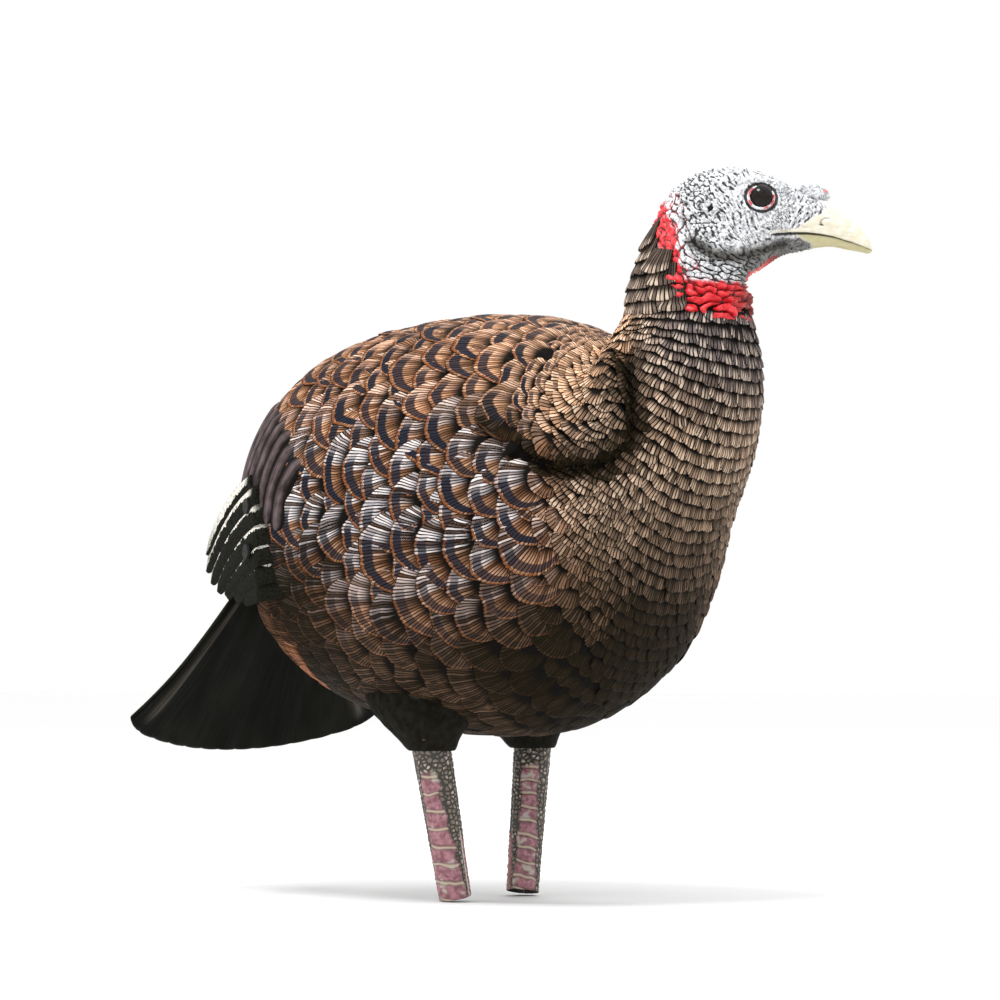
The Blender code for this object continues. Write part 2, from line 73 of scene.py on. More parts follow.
# ---------------------------------------------------------------- small maths

def smooth(x, low, high):
    """An eased step from 0 at low to 1 at high."""
    t = np.clip((np.asarray(x, float) - low) / (high - low), 0, 1)
    return t * t * (3 - 2 * t)


def between(x, low, full, fade, high):
    """1 from full to fade, easing to 0 at low and at high."""
    return smooth(x, low, full) * (1 - smooth(x, fade, high))


def hill(x, centre, width, power=2):
    """A bump that is 1 at the centre and fades over the width."""
    return np.exp(-((x - centre) / width) ** power)


def stacked(*values):
    """Values of matching shapes, side by side along a new last axis."""
    return np.stack(np.broadcast_arrays(*values), -1)


def unit(v):
    return v / np.maximum(np.linalg.norm(v, axis=-1, keepdims=True), 1e-9)


def hash01(ix, iy, iz, seed):
    """A repeatable random number from 0 to 1 for each integer cell."""
    with np.errstate(over="ignore"):
        h = (ix.astype(np.uint32) * np.uint32(73856093)) ^ (iy.astype(np.uint32) * np.uint32(19349663)) \
            ^ (iz.astype(np.uint32) * np.uint32(83492791)) ^ np.uint32((seed * 2654435761) % 2**32)
        h = (h ^ (h >> np.uint32(13))) * np.uint32(1274126177)
        h = (h ^ (h >> np.uint32(15))) * np.uint32(2246822519)
        h ^= h >> np.uint32(16)
    return h.astype(float) / 2**32


def noise3(p, seed=0):
    """Smooth value noise from -1 to 1 at points p (..., 3)."""
    cell = np.floor(p).astype(np.int64)
    f = p - cell
    f = f * f * (3 - 2 * f)
    total = 0.0
    for dx in (0, 1):
        for dy in (0, 1):
            for dz in (0, 1):
                w = (f[..., 0] if dx else 1 - f[..., 0]) * (f[..., 1] if dy else 1 - f[..., 1]) \
                    * (f[..., 2] if dz else 1 - f[..., 2])
                total = total + w * hash01(cell[..., 0] + dx, cell[..., 1] + dy, cell[..., 2] + dz, seed)
    return total * 2 - 1


def cells3(p, seed=0):
    """Distances to the nearest and second nearest of scattered points, one in each unit cell."""
    cell = np.floor(p).astype(np.int64)
    first = np.full(p.shape[:-1], 9.0)
    second = np.full(p.shape[:-1], 9.0)
    for dx in (-1, 0, 1):
        for dy in (-1, 0, 1):
            for dz in (-1, 0, 1):
                c = cell + np.array((dx, dy, dz))
                x, y, z = c[..., 0], c[..., 1], c[..., 2]
                jitter = np.stack([hash01(x, y, z, seed + 7 * k) for k in range(3)], -1)
                point = c + 0.15 + 0.7 * jitter
                d = np.linalg.norm(p - point, axis=-1)
                second = np.minimum(second, np.maximum(first, d))
                first = np.minimum(first, d)
    return first, second


def spline_rows(stations, places):
    """Catmull-Rom through the stations, as in the CAD part."""
    rows = np.asarray(stations, float)
    last = len(rows) - 1
    places = np.clip(places, 0, last)
    index = np.clip(places.astype(int), 0, last - 1)
    t = (places - index)[:, None]
    a, b = rows[np.maximum(index - 1, 0)], rows[index]
    c, d = rows[index + 1], rows[np.minimum(index + 2, last)]
    return 0.5 * (2 * b + (c - a) * t + (2 * a - 5 * b + 4 * c - d) * t * t
                  + (3 * b - a - 3 * c + d) * t ** 3)


def sections(rows, turns, power):
    """Closed sections (row, turn, xyz): turn 0 is the back, 0.25 is +Y, 0.5 the belly."""
    back = np.stack([rows[:, 0], 0 * rows[:, 0], rows[:, 1]], -1)[:, None]
    belly = np.stack([rows[:, 2], 0 * rows[:, 0], rows[:, 3]], -1)[:, None]
    across, along = np.sin(math.tau * turns), np.cos(math.tau * turns)
    size = (np.abs(across) ** power + np.abs(along) ** power) ** (-1 / power)
    points = (back + belly) / 2 + (back - belly) / 2 * (along * size)[None, :, None]
    points[..., 1] += rows[:, 4][:, None] * across * size
    return points


# ---------------------------------------------------------------- surfaces

class Skin:
    """A closed sculpted surface sampled on an even grid of station t and turn a.

    No feather runs past station limit.
    """

    def __init__(self, points, low, step, limit=99.0):
        self.low, self.step, self.limit = low, step, limit
        self.points = points
        self.turns = points.shape[1]
        self.along = np.gradient(points, axis=0) / step
        wrapped = np.concatenate([points[:, -1:], points, points[:, :1]], 1)
        self.around = (wrapped[:, 2:] - wrapped[:, :-2]) / 2 * self.turns
        self.normals = unit(np.cross(self.along, self.around))

    def sample(self, grid, t, a):
        row = np.clip((t - self.low) / self.step, 0, len(self.points) - 1.001)
        i = row.astype(int)
        fi = (row - i)[..., None]
        column = (a % 1.0) * self.turns
        j = column.astype(int)
        fj = (column - j)[..., None]
        j, k = j % self.turns, (j + 1) % self.turns
        return (grid[i, j] * (1 - fj) + grid[i, k] * fj) * (1 - fi) \
            + (grid[i + 1, j] * (1 - fj) + grid[i + 1, k] * fj) * fi

    def place(self, t, a):
        return self.sample(self.points, t, a)

    def normal(self, t, a):
        return unit(self.sample(self.normals, t, a))


BODY_LOW, BODY_TOP, BODY_STEP, BODY_TURNS = -0.5, 13.6, 0.025, 720
BODY_LIMIT = 13.1
# The crease under the mantle as (station, turn) on the right side, from the neck back to the flank.  The
# left side mirrors it.
CREASE = ((12.0, .83), (11.73, .806), (11.3, .75), (10.97, .71), (10.77, .69), (10.37, .698), (10.07, .713),
          (9.13, .765), (7.97, .80), (7.33, .819), (6.8, .829), (6.23, .835))


def segment_distance(points, line):
    """Distance from each point to a polyline, and how far along it that is, from 0 to 1."""
    best = np.full(points.shape[:-1], 1e9)
    share = np.zeros(points.shape[:-1])
    count = len(line) - 1
    for k in range(count):
        start, run = line[k], line[k + 1] - line[k]
        t = np.clip(((points - start) @ run) / (run @ run), 0, 1)
        d = np.linalg.norm(points - start - t[..., None] * run, axis=-1)
        near = d < best
        best = np.where(near, d, best)
        share = np.where(near, (k + t) / count, share)
    return best, share


def side_turn(a):
    """Turn from the back, 0, to the belly, 0.5, on either side."""
    a = a % 1.0
    return np.minimum(a, 1 - a)


def crease_field(skin, points, t, a):
    """Distance to the nearest crease, share along it, and whether a point is on the mantle's side."""
    line_t, line_a = np.array(CREASE).T
    best = np.full(points.shape[:-1], 1e9)
    share = np.zeros(points.shape[:-1])
    for mirrored in (line_a, 1 - line_a):
        d, along = segment_distance(points, skin.place(line_t, mirrored))
        share = np.where(d < best, along, share)
        best = np.minimum(best, d)
    over = 1 - side_turn(a) > np.interp(t, line_t[::-1], line_a[::-1])
    return best, share, over


def make_body_skin():
    """The CAD body's surface, with a rounded rump and the crease under the mantle pressed in."""
    t = np.arange(BODY_LOW, BODY_TOP + 1e-9, BODY_STEP)
    rows = spline_rows(BODY_STATIONS, t)
    rump = np.clip(-t / 0.5, 0, 0.999)
    shrink = np.sqrt(1 - rump ** 2)
    centre = (rows[:, 0:2] + rows[:, 2:4]) / 2
    half = (rows[:, 0:2] - rows[:, 2:4]) / 2
    centre[:, 0] -= 8.0 * rump
    centre[:, 1] += 39.0 * np.clip(t - 13, 0, None)
    rows[:, 0:2] = centre + half * shrink[:, None]
    rows[:, 2:4] = centre - half * shrink[:, None]
    rows[:, 4] *= shrink
    turns = np.arange(BODY_TURNS) / BODY_TURNS
    points = sections(rows, turns, BODY_SQUARENESS)
    plain = Skin(points, BODY_LOW, BODY_STEP)
    d, share, over = crease_field(plain, points, t[:, None] + 0 * turns, turns + 0 * t[:, None])
    depth = between(share, 0.0, 0.15, 0.72, 1.0)
    groove = -8.0 * hill(d, 0, np.where(over, 3.4, 8.5))
    lip = np.where(over, 3.6 * hill(d, 9.0, 7.5), 1.2 * hill(d, 19.0, 8.0))
    return Skin(points + plain.normals * (depth * (groove + lip))[..., None], BODY_LOW, BODY_STEP, BODY_LIMIT)


HEAD_LOW, HEAD_STEP, HEAD_TURNS = -0.6, 0.04, 360


def head_rows(t):
    """Head sections at stations t; below the first station the neck carries on straight down."""
    rows = spline_rows(HEAD_STATIONS, t)
    down = np.clip(t, None, 0) * 10.3
    rows[:, 1] += down
    rows[:, 3] += down
    return rows


def make_head_skin():
    t = np.arange(HEAD_LOW, 14 + 1e-9, HEAD_STEP)
    turns = np.arange(HEAD_TURNS) / HEAD_TURNS
    return Skin(sections(head_rows(t), turns, HEAD_SQUARENESS), HEAD_LOW, HEAD_STEP)


def head_to_world(points):
    """From the head's own frame, x forward from the neck axis, to the shared frame."""
    c, s = math.cos(HEAD_YAW), math.sin(HEAD_YAW)
    x, y, z = points[..., 0], points[..., 1], points[..., 2]
    return np.stack([NECK_X + c * x - s * y, s * x + c * y, z], -1)


# ---------------------------------------------------------------- meshes

def make_object(name, points, faces, attributes=None, sharp=50.0):
    """A mesh object from points in millimetres and a list of face arrays of equal corner counts."""
    mesh = bpy.data.meshes.new(name)
    corners = np.concatenate([f.reshape(-1) for f in faces])
    sizes = np.concatenate([np.full(len(f), f.shape[1]) for f in faces])
    mesh.vertices.add(len(points))
    mesh.vertices.foreach_set("co", (points * MM).astype(np.float32).ravel())
    mesh.loops.add(len(corners))
    mesh.loops.foreach_set("vertex_index", corners.astype(np.int32))
    mesh.polygons.add(len(sizes))
    mesh.polygons.foreach_set("loop_start", (np.cumsum(sizes) - sizes).astype(np.int32))
    for key, values in (attributes or {}).items():
        layer = mesh.attributes.new(key, "FLOAT_VECTOR", "POINT")
        layer.data.foreach_set("vector", values.astype(np.float32).ravel())
    mesh.update(calc_edges=True)
    mesh.validate()
    mesh.shade_smooth()
    if sharp:
        mesh.set_sharp_from_angle(angle=math.radians(sharp))
    obj = bpy.data.objects.new(name, mesh)
    bpy.context.scene.collection.objects.link(obj)
    return obj


def finish_piece(obj, material, body, slot, *replaced):
    """Paint a piece, parent it to the empty of the body that it rides on and hide the CAD nodes it stands
    for.
    """
    obj.data.materials.append(material)
    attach(obj, body)
    if replaced:
        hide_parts(*replaced)


def tube_faces(rows, columns, capped=True):
    """Faces of a tube of rows x columns points and, if capped, of fans to a pole point at each end."""
    i, j = np.meshgrid(np.arange(rows - 1), np.arange(columns), indexing="ij")
    k = (j + 1) % columns
    quads = np.stack([i * columns + j, i * columns + k, (i + 1) * columns + k, (i + 1) * columns + j], -1)
    faces = [quads.reshape(-1, 4)]
    if capped:
        j = np.arange(columns)
        k = (j + 1) % columns
        base = (rows - 1) * columns
        faces.append(stacked(k, j, rows * columns))
        faces.append(stacked(base + j, base + k, rows * columns + 1))
    return faces


def tube_object(name, grid, attributes=None, sharp=50.0):
    """A closed object from a grid of rings; each end closes on the ring's own middle."""
    rows, columns = grid.shape[:2]
    points = np.concatenate([grid.reshape(-1, 3), [grid[0].mean(0)], [grid[-1].mean(0)]])
    full = {}
    for key, values in (attributes or {}).items():
        full[key] = np.concatenate([values.reshape(-1, 3), [values[0].mean(0)], [values[-1].mean(0)]])
    return make_object(name, points, tube_faces(rows, columns), full, sharp)


def blade_object(name, grid, attributes=None, sharp=50.0):
    """A closed flat object from a grid of rings that run over its top and back under it.

    Both ends close with a strip from the top to the underside, so a curved end stays in its own edge.
    """
    rows, columns = grid.shape[:2]
    faces = tube_faces(rows, columns, False)
    j = np.arange(columns // 2)
    for base, flip in ((0, True), ((rows - 1) * columns, False)):
        strip = base + np.stack([j, j + 1, (columns - j - 1) % columns, (columns - j) % columns], -1)
        strip = strip[1:-1]
        ends = base + np.array([[0, 1, columns - 1], [columns // 2, columns // 2 + 1, columns // 2 - 1]])
        faces.append(strip[:, ::-1] if flip else strip)
        faces.append(ends[:, ::-1] if flip else ends)
    flat = {key: values.reshape(-1, 3) for key, values in (attributes or {}).items()}
    return make_object(name, grid.reshape(-1, 3), faces, flat, sharp)


# ---------------------------------------------------------------- feathers

class Style:
    """How one kind of feather is cut and meshed.

    columns, rows: points across and along.  spread: half angle of the rounded tip in degrees.
    roundness: how much of the length the rounded tip takes.  root: root width as a share of the tip's.
    low, lift: height of the root, and of the tip above it.  roof: how far the middle stands up.
    thick: sheet thickness.  ridge, pitch: height and spacing of the barbs.  barbs: they run straight in
    a "fan" or spread from the shaft's foot as a "ray".  hidden: share of the length under the next row.
    """

    def __init__(self, columns, rows, spread, roundness, root, low, lift, roof, thick, ridge, barbs, pitch,
                 hidden):
        self.columns, self.rows = columns, rows
        self.spread, self.roundness, self.root = math.radians(spread), roundness, root
        self.low, self.lift, self.roof, self.thick = low, lift, roof, thick
        self.ridge, self.barbs, self.pitch, self.hidden = ridge, barbs, pitch, hidden

    def grid(self):
        """Places across, -1 to 1, and along, 0 to 1; one row of points covers the hidden part."""
        across = np.linspace(-1, 1, self.columns)
        shown = np.linspace(self.hidden, 1, self.rows - 1)
        return np.meshgrid(across, np.concatenate([[0.0], shown]))


SMALL = Style(columns=19, rows=10, spread=80, roundness=0.26, root=0.80, low=-1.7, lift=3.0, roof=0.5,
              thick=0.7, ridge=0.16, barbs="fan", pitch=1.7, hidden=0.44)
MEDIUM = Style(columns=31, rows=14, spread=78, roundness=0.42, root=0.50, low=-2.0, lift=3.3, roof=0.7,
               thick=0.6, ridge=0.22, barbs="ray", pitch=2.0, hidden=0.40)
LARGE = Style(columns=51, rows=20, spread=80, roundness=0.52, root=0.40, low=-2.3, lift=4.6, roof=1.2,
              thick=0.7, ridge=0.34, barbs="ray", pitch=2.0, hidden=0.42)


# Share of a feather's length from its root to the place it is counted from.
ROOT_SHARE = 0.72


def ring_index(rows, columns):
    """Corner indices round a grid's edge, in the direction that faces out."""
    grid = np.arange(rows * columns).reshape(rows, columns)
    return np.concatenate([grid[0, :-1], grid[:-1, -1], grid[-1, :0:-1], grid[:0:-1, 0]])


def ridge_profile(cycles, rand):
    """Rounded barb ridges with narrow grooves between them; each ridge has its own height."""
    index = np.floor(cycles)
    which = index.astype(np.int64)
    height = 0.6 + 0.4 * hash01(which, (rand * 9999).astype(np.int64), 0 * which, 3)
    return np.sin(np.pi * (cycles - index)) ** 0.7 * height


def feather_points(skin, spots, style):
    """Points and attributes (feather, vertex, 3) of closed feathers laid on the skin.

    shape is across, along and a random number for each feather; barb counts the barbs across it.
    """
    u, v = style.grid()
    u, v = u.ravel()[None], v.ravel()[None]
    length, width = spots["length"][:, None], spots["width"][:, None]
    angle = u * style.spread
    edge_x = width / 2 * np.sin(angle) / math.sin(style.spread)
    edge_y = length * (1 - style.roundness + style.roundness * np.cos(angle))
    ragged = 1 + spots["ragged"][:, None] * noise3(stacked(u * 3.5, spots["rand"][:, None] * 97.0, 0.5), 5)
    x = edge_x * v + style.root * width / 2 * u * (1 - v)
    y = edge_y * v * (1 + (ragged - 1) * v)
    if style.barbs == "fan":
        cycles = u * width / 2 / style.pitch + 60
    else:
        cycles = np.arctan2(x, y + 0.12 * length) * length * 1.12 / style.pitch + 60
    rand = np.broadcast_to(spots["rand"][:, None], x.shape)
    cycles = cycles + 0.35 * noise3(stacked(x * 0.2, y * 0.2, rand * 50), 9)
    ridges = ridge_profile(cycles, rand)
    y = y * (1 + 0.035 * (ridges - 0.5) * smooth(v, 0.75, 1.0))
    sheet = smooth(v, 0.05, 0.35)
    height = style.low + spots["sink"][:, None] + spots["lift"][:, None] * v ** 1.15 \
        + style.roof * (1 - np.abs(u) ** 1.4) * sheet + spots["roll"][:, None] * u * sheet \
        + style.ridge * (ridges - 0.5) * sheet * (1 - 0.6 * smooth(v, 0.93, 1.0)) \
        - 0.3 * smooth(v, 0.93, 1.0) - 0.6 * smooth(np.abs(u), 0.72, 1.0) * sheet
    along_t, along_a, across_t, across_a = spots["map"]
    y = y - ROOT_SHARE * length
    dt = np.clip(y * along_t[:, None] + x * across_t[:, None], -1.3, 1.3)
    t = np.minimum(spots["t"][:, None] + dt, skin.limit)
    a = spots["a"][:, None] + y * along_a[:, None] + x * across_a[:, None]
    base, normal = skin.place(t, a), skin.normal(t, a)
    top = base + normal * height[..., None]
    ring = ring_index(style.rows, style.columns)
    under = base[:, ring] + normal[:, ring] * (height[:, ring] - style.thick)[..., None]
    middle = (style.rows // 2) * style.columns + style.columns // 2
    belly = base[:, [middle]] + normal[:, [middle]] * (style.low - 0.3)
    order = np.concatenate([np.arange(u.size), ring, [middle]])
    up = np.where(spots["a"] % 1.0 > 0.5, 1.0, -1.0)[:, None]
    shape = stacked(u * up, v, rand)[:, order]
    barb = stacked(cycles, 0.0, 0.0)[:, order]
    return np.concatenate([top, under, belly], 1), shape, barb


def feather_faces(style):
    """Corner indices of one feather: quads of its top and edge, triangles of its underside."""
    rows, columns = style.rows, style.columns
    i, j = np.meshgrid(np.arange(rows - 1), np.arange(columns - 1), indexing="ij")
    first = i * columns + j
    quads = np.stack([first, first + 1, first + columns + 1, first + columns], -1)
    ring = ring_index(rows, columns)
    count = len(ring)
    under = rows * columns + np.arange(count)
    follow = np.roll(np.arange(count), -1)
    side = np.stack([ring, under, under[follow], ring[follow]], -1)
    middle = np.full(count, rows * columns + count)
    return np.concatenate([quads.reshape(-1, 4), side]), np.stack([under[follow], under, middle], -1)


# At most this many triangles in one object of feathers. The export keeps pieces of up
# to 200,000 triangles whole.
PIECE_FACES = 185000


def lay_feathers(name, skin, spots, style, material, body, to_world=None):
    """One or more objects of closed feathers, each object small enough to export whole."""
    quads, tris = feather_faces(style)
    per_piece = PIECE_FACES // (2 * len(quads) + len(tris))
    total = len(spots["t"])
    pieces = max(1, math.ceil(total / per_piece))
    for part in range(pieces):
        some = picked(spots, slice(part * total // pieces, (part + 1) * total // pieces))
        points, shape, barb = feather_points(skin, some, style)
        if to_world:
            points = to_world(points)
        count, each = points.shape[:2]
        shift = (np.arange(count) * each)[:, None, None]
        faces = [(quads[None] + shift).reshape(-1, 4), (tris[None] + shift).reshape(-1, 3)]
        attributes = {"shape": shape, "barb": barb}
        for key in ("tint", "mask"):
            attributes[key] = np.repeat(some[key][:, None], each, 1)
        piece = f"{name}_{part + 1}" if pieces > 1 else name
        obj = make_object(piece, points.reshape(-1, 3), faces, attributes)
        finish_piece(obj, material, body, "feathered_foam")


def feather_map(skin, t, a, turn):
    """Station and turn per millimetre along and across each feather.  turn swings the tips to the belly."""
    st, sa = skin.sample(skin.along, t, a), skin.sample(skin.around, t, a)
    n = skin.normal(t, a)
    ahead = -unit(st)
    ahead = unit(ahead - (ahead * n).sum(-1, keepdims=True) * n)
    down = np.cross(n, ahead)
    belly = sa * np.where(a % 1.0 < 0.5, 1.0, -1.0)[:, None]
    down = down * np.sign((down * belly).sum(-1, keepdims=True))
    d = ahead * np.cos(turn)[:, None] + down * np.sin(turn)[:, None]
    s = np.cross(d, n)
    e, f, g = (st * st).sum(-1), (st * sa).sum(-1), (sa * sa).sum(-1)
    det = np.maximum(e * g - f * f, 1e-6)
    result = []
    for w in (d, s):
        r1, r2 = (w * st).sum(-1), (w * sa).sum(-1)
        result += [(g * r1 - f * r2) / det, (e * r2 - f * r1) / det]
    return result[0], result[1], result[2], result[3]


def row_spots(skin, t, spacing, parity, wander):
    """Even arc-length places round one station, counted from the back both ways."""
    turns = np.linspace(0, 0.5, 241)
    points = skin.place(np.full(241, t), turns)
    arc = np.concatenate([[0], np.cumsum(np.linalg.norm(np.diff(points, axis=0), axis=1))])
    count = max(2, round(arc[-1] / spacing))
    marks = (np.arange(count) + (0.5 if parity else 0.0)) / count * arc[-1]
    half = np.interp(marks, arc, turns)
    both = np.concatenate([half, 1 - half[(half > 1e-6)]])
    if not parity:
        both = np.append(both, 0.5)
    t_jitter = RNG.normal(0, wander, len(both)) * 0.5
    a_jitter = RNG.normal(0, wander, len(both))
    st = np.linalg.norm(skin.sample(skin.along, np.full(len(both), t), both), axis=-1)
    sa = np.linalg.norm(skin.sample(skin.around, np.full(len(both), t), both), axis=-1)
    return t + t_jitter / np.maximum(st, 12), both + a_jitter / sa


BOUNDARY_TURNS = (0.0, 0.15, 0.235, 0.363, 0.5)
BOUNDARY_STATIONS = (7.9, 8.1, 8.5, 8.8, 7.5)


def boundary(a):
    """Station where the small breast feathers give way to the body's larger ones."""
    return np.interp(side_turn(a), BOUNDARY_TURNS, BOUNDARY_STATIONS)


def collect_rows(skin, start, stop, pitch, spacing, reference, wander, least, keep):
    """Staggered rows of feather places from station start down to stop: stations, turns and row pitches.

    pitch is the step between rows in millimetres, averaged over the reference turns.  Where rows crowd
    closer than least, only every second, fourth or sixth one is kept.
    """
    ts, aas, pitches = [], [], []
    t, number = start, 0
    while t > stop:
        metric = np.mean([np.linalg.norm(skin.sample(skin.along, np.array([t]), np.array([a]))[0])
                          for a in reference])
        step = pitch / metric
        row_t, row_a = row_spots(skin, t, spacing, number % 2, wander)
        local = np.linalg.norm(skin.sample(skin.along, row_t, row_a), axis=-1) * step
        every = np.clip(np.ceil(least / np.maximum(local, 0.2)), 1, 6).astype(int)
        every = np.where(every > 1, every + (every % 2 == 0), every)
        chosen = (number % every == 0) & keep(row_t, row_a)
        ts.append(row_t[chosen])
        aas.append(row_a[chosen])
        pitches.append((local * every)[chosen])
        t -= step
        number += 1
    return np.concatenate(ts), np.concatenate(aas), np.concatenate(pitches)


def droop(t, a):
    """How far the flank feathers' tips swing toward the belly."""
    return math.radians(11) * np.sin(math.tau * side_turn(a)) * (1 - smooth(t, 7.5, 9.5))


LINEN = np.array((0.46, 0.27, 0.16))
COPPER = np.array((0.26, 0.118, 0.055))
BROWN = np.array((0.15, 0.067, 0.032))
TAN = np.array((0.205, 0.143, 0.100))
GREY = np.array((0.062, 0.057, 0.066))
RUST = np.array((0.24, 0.080, 0.030))


def body_paint(skin, t, a):
    """Tint and masks (silver, dark, band) of the feathers at a place on the body.

    Turn runs from the back, 0, to the belly, 0.5; station from the rump, 0, to the neck seam, 13.
    """
    side = side_turn(a)
    back = 1 - smooth(side, 0.12, 0.25)
    mantle = back * smooth(t, 6.0, 8.4)
    neck = smooth(t, 8.4, 9.6) * (1 - mantle)
    grey = smooth(t, 11.0, 12.5) * smooth(side, 0.16, 0.36)
    tint = BROWN + (COPPER - BROWN) * back[:, None]
    tint = tint + (LINEN - tint) * (0.75 * mantle)[:, None]
    tint = tint + (TAN - tint) * (0.85 * neck)[:, None]
    tint = tint + (GREY - tint) * (0.8 * grey)[:, None]
    # The dark mask: darker towards the belly, on the lower breast and round the rump; partly dark paint,
    # partly painted shade toward the belly.
    low = smooth(side, 0.27, 0.38)
    front = np.maximum(smooth(side, 0.35, 0.43) * between(t, 5.0, 7.0, 9.0, 11.4),
                       smooth(side, 0.285, 0.36) * between(t, 5.5, 7.0, 8.2, 9.6))
    rear = np.maximum((1 - smooth(t, 1.2, 3.0)) * smooth(side, 0.16, 0.32),
                      (1 - smooth(t, 4.2, 5.8)) * smooth(side, 0.245, 0.295))
    tint = tint + (TAN * 0.75 - tint) * (0.6 * low * (1 - neck))[:, None]
    dark = np.maximum(0.86 * low * (1 - smooth(t, 8.6, 11.0)), front)
    dark = np.maximum(dark, 0.96 * rear)
    vent = between(side, 0.33, 0.37, 0.47, 0.5) * hill(t, 3.30, 0.26, 4)
    tint = tint + (RUST - tint) * vent[:, None]
    dark = dark * (1 - 0.85 * vent)
    # Painted shade along the crease under the mantle.
    distance, share, over = crease_field(skin, skin.place(t, a), t, a)
    depth = between(share, 0.0, 0.12, 0.8, 1.0)
    dark = np.maximum(dark, depth * hill(distance, 0, np.where(over, 16.0, 14.0), 4))
    # Silver on the coverts' upper halves: silver paint, and a painted highlight where the light falls on
    # them.
    silver = between(side, 0.14, 0.22, 0.27, 0.37) * between(t, 2.2, 4.2, 7.6, 9.2)
    silver = np.clip(silver + 0.14 * back * (1 - smooth(t, 8.0, 9.0)), 0, 1)
    band = (1 - smooth(t, 7.8, 9.0)) * (1 - 0.6 * low)
    vary = RNG.normal(1, 0.16, len(t))[:, None]
    return tint * vary, np.stack([silver, dark, band], -1)


def spots_on(skin, t, a, pitch, size, turn=0.0, ragged=0.05, long=2.3, paint=body_paint, vary=0.06):
    """Everything that feather_points needs for feathers at (t, a); size is (least, most, width)."""
    least, most, width = size
    count = len(t)
    length = np.clip(long * pitch, least, most) * RNG.normal(1, vary, count)
    squeeze = 0.68 + 0.32 * np.clip(long * pitch / most, 0, 1)
    tint, mask = paint(skin, t, a)
    swing = turn + RNG.normal(0, vary, count)
    return {
        "t": t, "a": a, "length": length, "width": width * squeeze * RNG.normal(1, vary, count),
        "rand": RNG.random(count), "ragged": np.full(count, ragged), "sink": RNG.normal(0, 0.12, count),
        "roll": 0.35 + RNG.normal(0, 0.12, count), "map": feather_map(skin, t, a, swing),
        "tint": tint, "mask": mask,
    }


def with_lift(spots, style):
    """Shorter feathers lift less at their tips."""
    reach = spots["length"] / spots["length"].max()
    calm = 1 - 0.55 * smooth(side_turn(spots["a"]), 0.30, 0.42) * (style is not SMALL)
    spots["lift"] = style.lift * (0.55 + 0.45 * reach) * calm * RNG.normal(1, 0.08, len(reach))
    return spots


def picked(spots, which):
    """The feathers that an index or slice picks; map holds four arrays, every other entry one."""
    return {key: tuple(part[which] for part in values) if key == "map" else values[which]
            for key, values in spots.items()}


def ordered(spots):
    """Sorts feathers by side and station, so that a piece is one connected region."""
    return picked(spots, np.lexsort((spots["t"], spots["a"] % 1.0 > 0.5)))


# ---------------------------------------------------------------- materials

class Wire:
    """A shader value that adds, subtracts and multiplies like a number."""

    def __init__(self, nodes, socket):
        self.nodes, self.socket = nodes, socket

    def __add__(self, other):
        return self.nodes.math("ADD", self, other)

    def __sub__(self, other):
        return self.nodes.math("SUBTRACT", self, other)

    def __rsub__(self, other):
        return self.nodes.math("SUBTRACT", other, self)

    def __mul__(self, other):
        return self.nodes.math("MULTIPLY", self, other)

    def __abs__(self):
        return self.nodes.math("ABSOLUTE", self)


